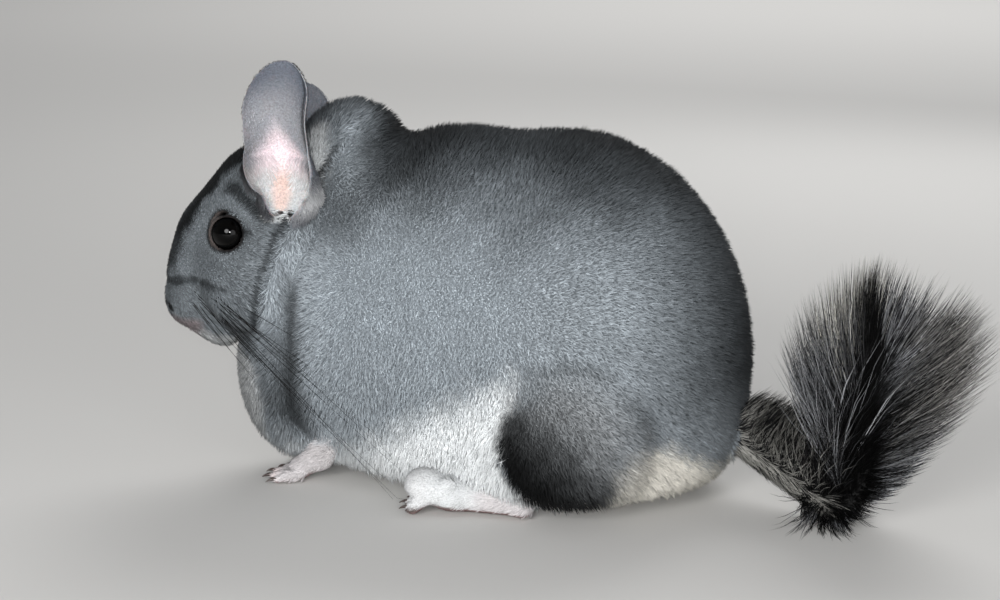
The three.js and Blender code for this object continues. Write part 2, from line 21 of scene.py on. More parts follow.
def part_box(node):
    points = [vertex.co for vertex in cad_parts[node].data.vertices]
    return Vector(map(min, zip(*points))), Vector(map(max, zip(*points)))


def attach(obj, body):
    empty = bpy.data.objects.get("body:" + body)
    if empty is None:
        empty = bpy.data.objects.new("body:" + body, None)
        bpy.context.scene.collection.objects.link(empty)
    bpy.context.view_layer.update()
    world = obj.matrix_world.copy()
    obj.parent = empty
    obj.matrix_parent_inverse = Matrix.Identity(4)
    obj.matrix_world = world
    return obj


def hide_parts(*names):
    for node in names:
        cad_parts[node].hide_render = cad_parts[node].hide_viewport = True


LOG = logging.getLogger("chinchilla")
MM = 0.001
BODY = "root"

Points = np.ndarray
Field = Callable[[Points], np.ndarray]
Colour = tuple[float, float, float]

# Driving places and sizes, in millimetres: the same that the solids are made from
RUMP_X = 93.5
BODY_LENGTH = 222.0
NOSE_X = RUMP_X - BODY_LENGTH
BACK_HEIGHT = 133.5
HALF_WIDTH = 63.0
EYE_CENTRE = (-97.5, 18.4, 92.7)
EYE_OUTWARD = (0.06, 0.99, 0.02)
EYE_RADIUS = 7.3
NOSE_PAD = (NOSE_X + 2.5, 0.0, 66.4)


class Side(Enum):
    """The two sides of the animal, as the sign of y."""

    LEFT = -1
    RIGHT = 1

    @property
    def label(self) -> str:
        """The side's name as the nodes spell it."""
        return self.name.lower()


class Shell(Enum):
    """The closed forms that the skin is made of."""

    BODY = "body"
    LIMBS = "limbs"


# Small numeric helpers


def vec(*values: float) -> Points:
    """A float array of the given numbers."""
    return np.array(values, dtype=float)


def norms(vectors: Points) -> np.ndarray:
    """The length of each row."""
    return np.linalg.norm(vectors, axis=1)


def bell(values: np.ndarray, middle: float | np.ndarray, width: float | np.ndarray) -> np.ndarray:
    """A bell curve of height one."""
    return np.exp(-(((values - middle) / width) ** 2))


def unit(vectors: Points) -> Points:
    """The vectors at length one, along the last axis."""
    return vectors / np.maximum(np.linalg.norm(vectors, axis=-1, keepdims=True), 1e-9)


def smoothstep(value: Points, low: float, high: float) -> Points:
    """A smooth rise from 0 at low to 1 at high.

    Args:
        value: The numbers to look up.
        low: Where the rise starts. It may be above high, for a fall.
        high: Where the rise ends.

    Returns:
        An array between 0 and 1.
    """
    t = np.clip((np.asarray(value, float) - low) / (high - low), 0.0, 1.0)
    return t * t * (3.0 - 2.0 * t)


def mix(a: Points, b: Points, share: Points) -> Points:
    """A blend of the numbers a and b."""
    return a + (b - a) * np.asarray(share, float)


def blend(a: Points, b: Points, share: np.ndarray) -> Points:
    """A blend of the colours a and b, row by row.

    Args:
        a: The first colours.
        b: The second colours.
        share: How much of the second.

    Returns:
        The blended colours.
    """
    a = np.atleast_2d(np.asarray(a, float))
    b = np.atleast_2d(np.asarray(b, float))
    return a + (b - a) * np.asarray(share, float)[:, None]


def tone_at(value: np.ndarray, marks: tuple[float, ...], tones: tuple[float, ...]) -> np.ndarray:
    """The tone at each value, between tones that are set at marks and change evenly to the eye."""
    return np.exp(np.interp(value, marks, np.log(tones)))


def soft_min(a: Points, b: Points, blend: float) -> Points:
    """The lower of two fields, rounded where they meet."""
    h = np.maximum(blend - np.abs(a - b), 0.0) / blend
    return np.minimum(a, b) - h * h * blend / 4.0


def soft_max(a: Points, b: Points, blend: float) -> Points:
    """The higher of two fields, rounded where they meet."""
    return -soft_min(-a, -b, blend)


@dataclass(frozen=True)
class Ripple:
    """Smooth seeded noise: a sum of plane waves, about -1 to 1.

    Attributes:
        scale: The size of its blotches in millimetres.
        seed: The draw's seed.
        waves: How many waves are summed.
    """

    scale: float
    seed: int
    waves: int = 14

    def __call__(self, points: Points) -> np.ndarray:
        """The noise at each point.

        Args:
            points: The points.

        Returns:
            The noise, about -1 to 1.
        """
        draw = np.random.default_rng(self.seed)
        turns = unit(draw.normal(size=(self.waves, 3))) * 2.0 * math.pi / self.scale
        turns *= draw.uniform(0.6, 1.5, size=(self.waves, 1))
        phase = draw.uniform(0.0, 2.0 * math.pi, size=self.waves)
        total = np.zeros(len(points))
        for turn, start in zip(turns, phase):
            total += np.sin(points @ turn + start)
        return total / math.sqrt(self.waves) * 0.8


# Fields: negative inside a form


@dataclass(frozen=True)
class Mass:
    """An ellipsoid of flesh.

    Attributes:
        at: Its middle.
        radii: Its half sizes along x, y and z.
        pitch: A turn about y in degrees.
        yaw: A turn about z in degrees, before the pitch.
        paired: True where the other side has one too.
    """

    at: tuple[float, float, float]
    radii: tuple[float, float, float]
    pitch: float = 0.0
    yaw: float = 0.0
    paired: bool = False

    def __call__(self, points: Points) -> np.ndarray:
        """The signed distance, near enough, at each point.

        Args:
            points: The points.

        Returns:
            The signed distances.
        """
        x = points[:, 0] - self.at[0]
        y = (np.abs(points[:, 1]) if self.paired else points[:, 1]) - self.at[1]
        z = points[:, 2] - self.at[2]
        c, s = math.cos(math.radians(self.yaw)), math.sin(math.radians(self.yaw))
        x, y = x * c + y * s, y * c - x * s
        c, s = math.cos(math.radians(self.pitch)), math.sin(math.radians(self.pitch))
        x, z = x * c - z * s, x * s + z * c
        rx, ry, rz = self.radii
        near = np.sqrt((x / rx) ** 2 + (y / ry) ** 2 + (z / rz) ** 2)
        slope = np.sqrt((x / rx**2) ** 2 + (y / ry**2) ** 2 + (z / rz**2) ** 2)
        return near * (near - 1.0) / np.maximum(slope, 1e-6)


@dataclass(frozen=True)
class Limb:
    """A round-ended taper from one point to another.

    Attributes:
        start: The first end.
        end: The other end.
        start_radius: The radius at the first.
        end_radius: The radius at the other.
    """

    start: tuple[float, float, float]
    end: tuple[float, float, float]
    start_radius: float
    end_radius: float

    def __call__(self, points: Points) -> np.ndarray:
        """The signed distance at each point.

        Args:
            points: The points.

        Returns:
            The signed distances.
        """
        start = np.asarray(self.start, float)
        along = np.asarray(self.end, float) - start
        t = np.clip((points - start) @ along / (along @ along), 0.0, 1.0)
        radius = self.start_radius + (self.end_radius - self.start_radius) * t
        return norms(points - start - t[:, None] * along) - radius


def soft_union(points: Points, blend: float, parts: list[Field]) -> np.ndarray:
    """The rounded union of several fields at each point.

    Args:
        points: The points.
        blend: How wide the rounding is.
        parts: The fields.

    Returns:
        The signed distances.
    """
    total = parts[0](points)
    for part in parts[1:]:
        total = soft_min(total, part(points), blend)
    return total


def slope_of(form: Field, points: Points, step: float = 0.05) -> Points:
    """The unit gradient of a field.

    Args:
        form: The field.
        points: Where it is wanted.
        step: The distance over which it is measured.

    Returns:
        One unit vector a point, pointing outwards.
    """
    parts = []
    for axis in range(3):
        shift = np.zeros(3)
        shift[axis] = step
        parts.append(form(points + shift) - form(points - shift))
    return unit(np.stack(parts, axis=1))


def on_right(points: Points) -> Points:
    """The points with both sides folded onto the right one.

    Args:
        points: The points.

    Returns:
        The folded places.
    """
    folded = points.copy()
    folded[:, 1] = np.abs(folded[:, 1])
    return folded


def near_route(points: Points, route: tuple[tuple[float, float, float], ...]) -> np.ndarray:
    """How far each point is from a route through several places, both sides folded onto the right one."""
    parts = [Limb(a, b, 0.0, 0.0)(on_right(points)) for a, b in zip(route[:-1], route[1:])]
    return np.minimum.reduce(parts)


# Lines on the face and neck, on the right side
MUZZLE_LINE = (
    (-126.2, 2.0, 71.2),
    (-124.4, 7.6, 71.3),
    (-118.9, 12.0, 72.5),
    (-112.0, 15.9, 73.2),
    (-105.2, 22.9, 73.0),
    (-97.9, 26.0, 71.8),
)
BROW_LINE = (
    (-97.7, 19.5, 109.5),
    (-95.0, 21.0, 109.8),
    (-91.1, 24.0, 106.5),
    (-86.2, 26.0, 103.3),
    (-81.2, 26.7, 100.0),
)
BROW_ARC = (
    (-109.1, 13.2, 101.7),
    (-103.4, 17.0, 105.0),
    (-97.3, 21.4, 105.4),
    (-92.1, 24.5, 103.2),
    (-89.1, 26.0, 100.3),
)
BEHIND_EAR = (
    (-65.5, 16.0, 131.0),
    (-64.2, 19.0, 125.0),
    (-64.6, 23.0, 117.6),
    (-66.0, 25.3, 112.0),
    (-70.0, 25.3, 106.5),
)
EAR_NOTCH = ((-79.0, 26.0, 103.0), (-75.5, 26.5, 103.0))
EYE_CORNER = ((-91.0, 25.5, 94.0), (-88.3, 26.7, 93.6))
NOSTRIL = ((-125.2, 7.4, 62.4), (-122.9, 10.0, 61.4))
NAPE_LINE = (
    (-30.0, 0.0, 131.5),
    (-37.3, 4.0, 131.0),
    (-39.5, 12.0, 128.6),
    (-43.5, 19.3, 125.1),
    (-48.0, 23.4, 120.9),
)


@dataclass(frozen=True)
class TailAxis:
    """The tail's middle line: back from the rump, down to its bend on the floor, and up.

    Attributes:
        stations: The points that the smooth line passes through.
        steps: How finely it is sampled.
    """

    stations: tuple[tuple[float, float, float], ...] = (
        (78, 1, 27),
        (91, -3, 21.5),
        (102, -12, 17),
        (113, -22, 12.6),
        (123, -31, 9),
        (130.5, -36, 9.8),
        (133.5, -38, 20),
        (134, -38.5, 34),
        (136, -38.5, 48),
        (140, -38, 61),
    )
    steps: int = 240

    def samples(self) -> Points:
        """Evenly spaced points along the line.

        Returns:
            The points, one a row.
        """
        knots = np.asarray(self.stations, float)
        ends = np.vstack([2 * knots[0] - knots[1], knots, 2 * knots[-1] - knots[-2]])
        rows = []
        for i in range(len(knots) - 1):
            p0, p1, p2, p3 = ends[i : i + 4]
            t = np.linspace(0.0, 1.0, 40, endpoint=False)[:, None]
            square, cube = 2 * p0 - 5 * p1 + 4 * p2 - p3, 3 * p1 - p0 - 3 * p2 + p3
            rows.append(0.5 * (2 * p1 + (p2 - p0) * t + square * t**2 + cube * t**3))
        line = np.vstack(rows + [knots[-1:]])
        walked = np.concatenate([[0.0], np.cumsum(norms(np.diff(line, axis=0)))])
        even = np.linspace(0.0, walked[-1], self.steps + 1)
        return np.stack([np.interp(even, walked, line[:, k]) for k in range(3)], axis=1)

    def at(self, share: Points) -> tuple[Points, Points]:
        """Places and directions on the line.

        Args:
            share: Shares of the line's length, from 0 to 1.

        Returns:
            The points and the unit tangents.
        """
        line = self.samples()
        grades = unit(np.gradient(line, axis=0))
        where = np.clip(np.asarray(share, float), 0.0, 1.0) * self.steps
        marks = np.arange(self.steps + 1)
        place = np.stack([np.interp(where, marks, line[:, k]) for k in range(3)], axis=1)
        along = np.stack([np.interp(where, marks, grades[:, k]) for k in range(3)], axis=1)
        return place, unit(along)


@dataclass(frozen=True)
class Digits:
    """The toes of one kind of foot.

    Attributes:
        shares: How long each toe is against the longest.
        length: The longest toe's length.
        radius: How thick they are.
        spread: The angle between the outer two, in degrees.
        rise: How high the toes start above the floor.
    """

    shares: tuple[float, ...]
    length: float
    radius: float
    spread: float
    rise: float


@dataclass(frozen=True)
class Leg:
    """One leg's places: where its foot starts and ends, and its heading in degrees.

    Attributes:
        upper: The top of the leg.
        ankle: Where the foot starts.
        ball: Where the toes start.
        heading: Where the foot points, in degrees.
    """

    upper: tuple[float, float, float]
    ankle: tuple[float, float, float]
    ball: tuple[float, float, float]
    heading: float


def heading_vector(degrees: float) -> Points:
    """A level unit vector at an angle from +X."""
    return vec(math.cos(math.radians(degrees)), math.sin(math.radians(degrees)), 0.0)


@dataclass(frozen=True)
class Anatomy:
    """The animal's outer form, out to the tips of its coat, as fields.

    Attributes:
        trunk_parts: The masses of the trunk.
        haunch: The mass of a haunch.
        head_parts: The masses of the head.
        fingers: The front toes.
        toes: The hind toes.
        front: The foreleg.
        hind: The hind leg.
        tail: The tail's core.
    """

    trunk_parts: tuple[Mass, ...] = (
        Mass((RUMP_X - 70, 0, 48), (70, HALF_WIDTH - 1, BACK_HEIGHT - 49)),
        Mass((-14, 0, 58), (58, 51, BACK_HEIGHT - 58.5)),
        Mass((-44, 0, 58), (40, 43, 58)),
        Mass((-68, 0, 42), (31, 31, 41)),
        Mass((-55, 0, 107), (25.5, 27, 34.3)),
    )
    haunch: Mass = Mass((30, 45, 30), (33, 21, 33), paired=True)
    head_parts: tuple[Mass, ...] = (
        Mass((-83.4, 0, 97), (27.7, 27, 28.7)),
        Mass((-100.2, 0, 86.9), (25, 18, 21.2), pitch=-42.7),
        Mass((-91, 12.5, 76), (20, 15, 22), paired=True),
        Mass((NOSE_X + 18, 0, 67.9), (15.8, 12.5, 18.4), pitch=-25),
        Mass((NOSE_X + 12.1, 5, 63.4), (8, 7.5, 8), paired=True),
        Mass((-105.7, 0, 55.4), (8.2, 9, 10), pitch=-20),
    )
    fingers: Digits = Digits((0.85, 1.0, 1.0, 0.85), 10.0, 2.0, 58.0, 1.2)
    toes: Digits = Digits((0.7, 0.95, 1.0, 0.9), 14.5, 3.1, 26.0, 8.6)
    front: dict[Side, Leg] = field(
        default_factory=lambda: {
            Side.LEFT: Leg((-50, -24, 32), (-64, -18, 9.5), (-71, -17, 4.6), 181),
            Side.RIGHT: Leg((-52, 26, 32), (-64, 19, 9.5), (-70, 19, 4.6), 178),
        }
    )
    hind: dict[Side, Leg] = field(
        default_factory=lambda: {
            Side.LEFT: Leg((24, -44, 26), (16, -49, 4.8), (-9.0, -45, 5.4), 174),
            Side.RIGHT: Leg((24, 44, 26), (16, 49, 4.8), (-9.0, 45, 5.4), 186),
        }
    )
    tail: TailAxis = TailAxis()

    def trunk(self, points: Points) -> np.ndarray:
        """The trunk with its haunches and a belly that is flat on the floor.

        Args:
            points: The points.

        Returns:
            The signed distances.
        """
        mass = soft_union(points, 10.0, list(self.trunk_parts))
        mass = soft_min(mass, self.haunch(points), 5.0)
        under = ((points[:, 0] + 2.0) ** 2 + points[:, 1] ** 2) / 1400.0 - 0.8 - points[:, 2]
        return soft_max(mass, under, 8.0)

    def head(self, points: Points) -> np.ndarray:
        """The head without its ears."""
        return soft_union(points, 7.0, list(self.head_parts))

    def digit_lines(self, leg: Leg, side: Side, digits: Digits) -> list[tuple[Points, Points]]:
        """Where each toe of a foot starts and ends.

        Args:
            leg: The leg that carries the toes.
            side: Which side it is on.
            digits: The toes' sizes.

        Returns:
            A start and an end for each toe, from the inner one outwards.
        """
        lines = []
        for i, size in enumerate(digits.shares):
            share = i / (len(digits.shares) - 1) - 0.5
            turn = leg.heading - side.value * share * digits.spread
            aside = -side.value * share * digits.radius * 4.2
            start = np.asarray(leg.ball, float) + heading_vector(leg.heading + 90) * aside
            end = start + heading_vector(turn) * digits.length * size
            start[2] = digits.rise + digits.radius * 0.8
            end[2] = digits.radius * 0.8
            lines.append((start, end))
        return lines


# Meshes


@dataclass(frozen=True)
class Bench:
    """The maker's axes, set on the frame by the middle of the left eye.

    Attributes:
        origin: Where the maker's origin is in the frame, in metres.
    """

    origin: Points

    @classmethod
    def on_frame(cls) -> "Bench":
        """The bench that puts the left eye where the frame has it.

        Returns:
            The bench.
        """
        low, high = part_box("eye_left")
        middle = (np.array(low) + np.array(high)) / 2.0
        eye = np.array(EYE_CENTRE) * (1.0, Side.LEFT.value, 1.0)
        return cls(origin=middle - eye * MM)

    def metres(self, points: Points) -> Points:
        """The points in the frame's metres."""
        return np.asarray(points, float) * MM + self.origin


@dataclass
class Sheet:
    """A mesh held as arrays, in millimetres.

    Attributes:
        points: Its corners.
        faces: Rows of corner indices, all triangles or all quads.
        colours: One linear colour a corner.
        patches: One place on the unwrap a face corner, or None.
        normals: The way that the surface is shaded at each corner, or None.
    """

    points: Points
    faces: np.ndarray
    colours: Points
    patches: Points | None = None
    normals: Points | None = None

    @staticmethod
    def joined(sheets: list["Sheet"]) -> "Sheet":
        """Several sheets of the same kind of face as one.

        Args:
            sheets: The sheets.

        Returns:
            The one sheet.
        """
        offsets = np.cumsum([0] + [len(s.points) for s in sheets[:-1]])
        patched = all(s.patches is not None for s in sheets)
        shaded = all(s.normals is not None for s in sheets)
        return Sheet(
            points=np.vstack([s.points for s in sheets]),
            faces=np.vstack([s.faces + o for s, o in zip(sheets, offsets)]),
            colours=np.vstack([s.colours for s in sheets]),
            patches=np.vstack([s.patches for s in sheets]) if patched else None,
            normals=np.vstack([s.normals for s in sheets]) if shaded else None,
        )

    def mesh_object(self, name: str, bench: Bench) -> bpy.types.Object:
        """A new object with this mesh in place and its colours as an attribute.

        Args:
            name: The object's name.
            bench: The axes that the points are on.

        Returns:
            The object, linked to the scene.
        """
        mesh = bpy.data.meshes.new(name)
        count, sides = self.faces.shape
        mesh.vertices.add(len(self.points))
        mesh.vertices.foreach_set("co", bench.metres(self.points).astype(np.float32).ravel())
        mesh.loops.add(count * sides)
        mesh.loops.foreach_set("vertex_index", self.faces.astype(np.int32).ravel())
        mesh.polygons.add(count)
        mesh.polygons.foreach_set("loop_start", np.arange(0, count * sides, sides, dtype=np.int32))
        mesh.polygons.foreach_set("use_smooth", np.ones(count, dtype=bool))
        mesh.update(calc_edges=True)
        tint = mesh.color_attributes.new(Finish.TINT, "FLOAT_COLOR", "POINT")
        rgba = np.ones((len(self.points), 4), np.float32)
        rgba[:, :3] = self.colours
        tint.data.foreach_set("color", rgba.ravel())
        if self.patches is not None:
            unwrap = mesh.uv_layers.new(name="OFBake")
            unwrap.data.foreach_set("uv", self.patches.astype(np.float32).ravel())
        if self.normals is not None:
            mesh.normals_split_custom_set_from_vertices(self.normals.astype(np.float32))
        made = bpy.data.objects.new(name, mesh)
        bpy.context.scene.collection.objects.link(made)
        return made


def graded(low: float, high: float, cell: Callable[[float], float]) -> np.ndarray:
    """Marks from low to high whose spacing follows a rule of place.

    Args:
        low: The first mark.
        high: The last mark.
        cell: The spacing at a place.

    Returns:
        The marks, rising.
    """
    marks = [low]
    while marks[-1] < high:
        marks.append(marks[-1] + cell(marks[-1]))
    return np.array(marks)


def surface_of(form: Field, axes: tuple[np.ndarray, np.ndarray, np.ndarray]) -> tuple[Points, np.ndarray]:
    """The closed surface where a field is nought.

    Args:
        form: The field.
        axes: The marks along x, y and z of the grid that it is looked up on.

    Returns:
        The corners, and the quads as rows of four indices that face outwards.
    """
    reach = 6.0
    values = np.empty([len(marks) for marks in axes], np.float32)
    flat = np.stack(np.meshgrid(axes[1], axes[2], indexing="ij"), axis=-1).reshape(-1, 2)
    for i, x in enumerate(axes[0]):
        sheet = np.column_stack([np.full(len(flat), x), flat])
        values[i] = form(sheet).reshape(values.shape[1:])
    volume = openvdb.FloatGrid(reach)
    volume.copyFromArray(np.clip(values, -reach, reach))
    found, _, quads = volume.convertToPolygons(0.0, 0.0)
    points = np.stack([np.interp(found[:, k], np.arange(len(axes[k])), axes[k]) for k in range(3)], axis=1)
    for _ in range(2):
        points -= slope_of(form, points) * np.clip(form(points), -0.6, 0.6)[:, None]
    quads = quads.astype(np.int64)
    a, b, c = (points[quads[:, k]] for k in range(3))
    outward = slope_of(form, points[quads].mean(axis=1))
    if np.sum(np.cross(b - a, c - b) * outward) < 0.0:
        quads = quads[:, ::-1]
    return points, quads


# Finishes


@dataclass(frozen=True)
class Finish:
    """A material whose colour follows the piece's own tint attribute.

    Attributes:
        name: The material's name.
        roughness: How matt it is.
        sheen: The strength of its soft rim.
        grain: How strongly a fine noise varies the colour.
        grain_scale: How many grains there are in a metre.
        bump: How far the grain lifts the surface, in metres.
        specular: The strength of its gloss.
        subsurface: How much light passes through the surface.
    """

    TINT = "tint"

    name: str
    roughness: float = 0.7
    sheen: float = 0.0
    grain: float = 0.15
    grain_scale: float = 900.0
    bump: float = 0.0
    specular: float = 0.3
    subsurface: float = 0.0

    def material(self) -> bpy.types.Material:
        """The material, made once.

        Returns:
            The material.
        """
        made = bpy.data.materials.get(self.name)
        if made:
            return made
        made = bpy.data.materials.new(self.name)
        made.use_nodes = True
        nodes = made.node_tree.nodes
        links = made.node_tree.links
        shader = nodes["Principled BSDF"]
        for socket, value in (
            ("Roughness", self.roughness),
            ("Specular IOR Level", self.specular),
            ("Sheen Weight", self.sheen),
            ("Sheen Roughness", 0.6),
            ("Subsurface Weight", self.subsurface),
            ("Subsurface Radius", (0.004, 0.0015, 0.001)),
            ("Subsurface Scale", 0.5),
        ):
            shader.inputs[socket].default_value = value
        tint = nodes.new("ShaderNodeAttribute")
        tint.attribute_name = self.TINT
        where = nodes.new("ShaderNodeTexCoord")
        noise = nodes.new("ShaderNodeTexNoise")
        noise.inputs["Scale"].default_value = self.grain_scale
        noise.inputs["Detail"].default_value = 3.0
        links.new(where.outputs["Object"], noise.inputs["Vector"])
        span = nodes.new("ShaderNodeMapRange")
        for end, low, high in (("Min", 0.3, 1.0 - self.grain), ("Max", 0.7, 1.0 + self.grain)):
            span.inputs["From " + end].default_value = low
            span.inputs["To " + end].default_value = high
        links.new(noise.outputs["Fac"], span.inputs["Value"])
        shade = nodes.new("ShaderNodeVectorMath")
        shade.operation = "SCALE"
        links.new(tint.outputs["Color"], shade.inputs[0])
        links.new(span.outputs["Result"], shade.inputs["Scale"])
        links.new(shade.outputs["Vector"], shader.inputs["Base Color"])
        if self.bump:
            lift = nodes.new("ShaderNodeBump")
            lift.inputs["Distance"].default_value = self.bump
            lift.inputs["Strength"].default_value = 1.0
            links.new(noise.outputs["Fac"], lift.inputs["Height"])
            links.new(lift.outputs["Normal"], shader.inputs["Normal"])
        return made


SKIN_FINISH = Finish("underfur", roughness=0.9, grain=0.3, grain_scale=1400, bump=0.0006, specular=0.12)
FUR_FINISH = Finish("plush_fur", roughness=0.75, grain=0.1, grain_scale=2500, sheen=0.02, specular=0.05)
BRISTLE_FINISH = Finish("tail_bristle", roughness=0.55, grain=0.12, grain_scale=1800, specular=0.12)
EAR_FINISH = Finish("ear_skin", roughness=0.7, grain=0.22, grain_scale=1500, bump=0.0003, specular=0.15, subsurface=0.3)
EYE_FINISH = Finish("eye_gloss", roughness=0.03, grain=0.2, grain_scale=500, specular=0.14)
CLAW_FINISH = Finish("claw_horn", roughness=0.35, grain=0.3, grain_scale=1500, specular=0.5)
WHISKER_FINISH = Finish("whisker_hair", roughness=0.8, grain=0.05, specular=0.04)


# Markings, with painted shade


@dataclass(frozen=True)
class Markings:
    """The colours of a standard grey coat, with painted shade in its creases and under its bulges, as linear values,
    laid out by place.

    Attributes:
        steel: The tint of the grey hair at a tone of one.
        chalk: The tint of the white hair.
        sand: The tint of the strip under the rump.
        paw: The colour of the feet.
        skin_pink: The colour of bare skin.
        nose: The colour of the nose's pad.
        side_heights: Heights above the floor, in millimetres.
        side_tones: The tone of the trunk at those heights: darker towards the top for the back's darker coat and for
            painted shade where the top turns from the light.
        leg_tone: The tone of the tops of the legs.
        white_tone: The tone of the belly.
        haunch_tones: The tones of the haunch, from its paler top to its black lower front, which is dark coat with
            painted shade under the bulge.
        crown_tone: The tone of the black blaze.
        pad_dark: The colour under the hind toes: their dark pads with painted shade.
    """

    steel: Colour = (0.90, 1.0, 1.08)
    chalk: Colour = (0.97, 1.0, 1.01)
    sand: Colour = (1.04, 1.0, 0.90)
    paw: Colour = (0.53, 0.505, 0.51)
    skin_pink: Colour = (0.62, 0.40, 0.38)
    nose: Colour = (0.24, 0.19, 0.20)
    side_heights: tuple[float, ...] = (36, 72, 92, 103, 117, 125, 131)
    side_tones: tuple[float, ...] = (0.33, 0.39, 0.38, 0.29, 0.105, 0.052, 0.036)
    leg_tone: float = 0.41
    white_tone: float = 0.80
    haunch_tones: tuple[float, ...] = (0.25, 0.21, 0.14, 0.035, 0.004)
    crown_tone: float = 0.012
    pad_dark: Colour = (0.10, 0.08, 0.075)

    def trunk(self, points: Points, normals: Points) -> Points:
        """The trunk's markings, with painted shade in its creases and where it turns from the light.

        Args:
            points: Where they are wanted.
            normals: The way that the form faces there.

        Returns:
            One linear colour a point.
        """
        x, y, z = points.T
        side = np.abs(y)
        wander = Ripple(24.0, 5)(points) * 2.5
        # Darker towards the top: the back's darker coat, with painted shade where the top turns from the light.
        tone = tone_at(z + wander, self.side_heights, self.side_tones)
        tone *= mix(1.0, 0.72, smoothstep(x + wander * 2.0, -12.0, 48.0))
        tone *= 1.0 + 0.75 * bell(x, 8.0, 30.0) * smoothstep(z + wander, 102.0, 120.0)
        # Painted shade where the rump faces back, away from the light, over its darker coat.
        rump = tone_at(normals[:, 0], (0.35, 0.55, 0.75, 0.95), (1.0, 0.75, 0.42, 0.2))
        tone *= mix(1.0, rump, smoothstep(x, 40.0, 60.0) * smoothstep(z, 18.0, 50.0))
        nape = tone_at(side + wander * 0.5, (1.0, 6.0, 13.0), (0.13, 0.23, 0.30))
        # Darker between z 104 and 114: painted shade in the crease under the nape's lump, over its own grey.
        nape = np.minimum(nape, tone_at(z, (84.0, 104.0, 114.0, 124.0), (0.29, 0.17, 0.16, 0.30)))
        tone = mix(tone, nape, smoothstep(x + wander * 0.6, -38.0, -50.0) * smoothstep(z, 80.0, 100.0))
        # The throat's own grey, darkest about z 30 with painted shade of the neck fold.
        throat_tone_and_shade = tone_at(z, (10.0, 30.0, 50.0, 66.0), (0.30, 0.12, 0.26, 0.41))
        tone = mix(tone, throat_tone_and_shade, smoothstep(x, -60.0, -74.0) * smoothstep(z, 78.0, 60.0))
        # Painted shadow behind the lower neck fold.
        low_fold_shade = bell(x, -68.0, 6.5) * smoothstep(z, 40.0, 24.0) * smoothstep(side, 20.0, 30.0)
        tone *= mix(1.0, 0.45, low_fold_shade)
        # Painted shadow in the notch behind the nape, along the top of the back.
        nape_notch_shade = bell(x, -27.0, 17.0) * smoothstep(z, 108.0, 119.0)
        tone *= mix(1.0, 0.55, nape_notch_shade)
        colour = np.array(self.steel) * tone[:, None]
        rough = Ripple(9.0, 8)(points)
        top = np.interp(x, [-70.0, -45.0, -28.0, -13.0, 5.0, 15.0, 22.0], [6.0, 14.0, 24.0, 34.0, 42.0, 47.0, 38.0])
        belly = smoothstep(z - top + rough * 2.5, 13.0, -9.0)
        front = np.interp(z, [4.0, 9.7, 20.5, 32.0, 43.0, 48.0], [26.0, 16.6, 9.6, 11.2, 14.5, 17.0])
        under = smoothstep(side, 46.0, 38.0) * smoothstep(z, 14.0, 8.0)
        belly *= np.maximum(smoothstep(x - front + rough * 0.7, 1.4, -0.8), under * smoothstep(x, 80.0, 60.0))
        colour = blend(colour, np.array(self.chalk) * self.white_tone, belly)
        strip_top = np.interp(x, [34.0, 42.0, 52.0, 63.0, 74.0, 84.0], [6.0, 15.0, 21.0, 26.0, 22.0, 12.0])
        strip = smoothstep(z - strip_top + rough * 2.0, 6.0, -6.0) * smoothstep(x, 28.0, 42.0)
        strip *= mix(0.8, 1.0, smoothstep(x, 44.0, 60.0))
        colour = blend(colour, np.array(self.sand) * 0.62, strip)
        return self.haunch(points, colour, rough)

    def haunch(self, points: Points, colour: Points, rough: np.ndarray) -> Points:
        """Lays the haunch's dark edge, partly painted shade, and a painted crease shadow over the trunk's colour.

        Args:
            points: Where the colours are.
            colour: The trunk's colours there.
            rough: The unevenness of the edge.

        Returns:
            One linear colour a point.
        """
        x, y, z = points.T
        low_front = ((x - 32.0) * -0.62 + (z - 30.0) * -0.78) / 23.0 + rough * 0.05
        # Darkest at the lower front: dark coat with painted shade under the haunch's bulge.
        tone = tone_at(low_front + rough * 0.06, (-1.0, -0.55, -0.15, 0.35, 0.8), self.haunch_tones)
        apart = np.hypot((x - 33.5) / 24.5, (z - 27.5) / 26.0) + rough * 0.03
        soft = mix(0.55, 0.9, smoothstep(low_front, -0.3, 0.3))
        inside = smoothstep(apart, mix(1.35, 1.1, smoothstep(low_front, -0.3, 0.3)), soft)
        inside *= smoothstep(np.abs(y), 34.0, 44.0)
        colour = blend(colour, np.array(self.steel) ** 0.5 * tone[:, None], inside)
        # Painted shadow of a crease along the haunch's upper rim.
        crease_shade = bell(apart, 1.12, 0.09) * smoothstep(low_front, 0.1, -0.5)
        crease_shade *= smoothstep(np.abs(y), 34.0, 44.0)
        crease_shade *= smoothstep(Ripple(26.0, 9)(points), -0.6, 0.5)
        return colour * mix(1.0, 0.66, crease_shade)[:, None]

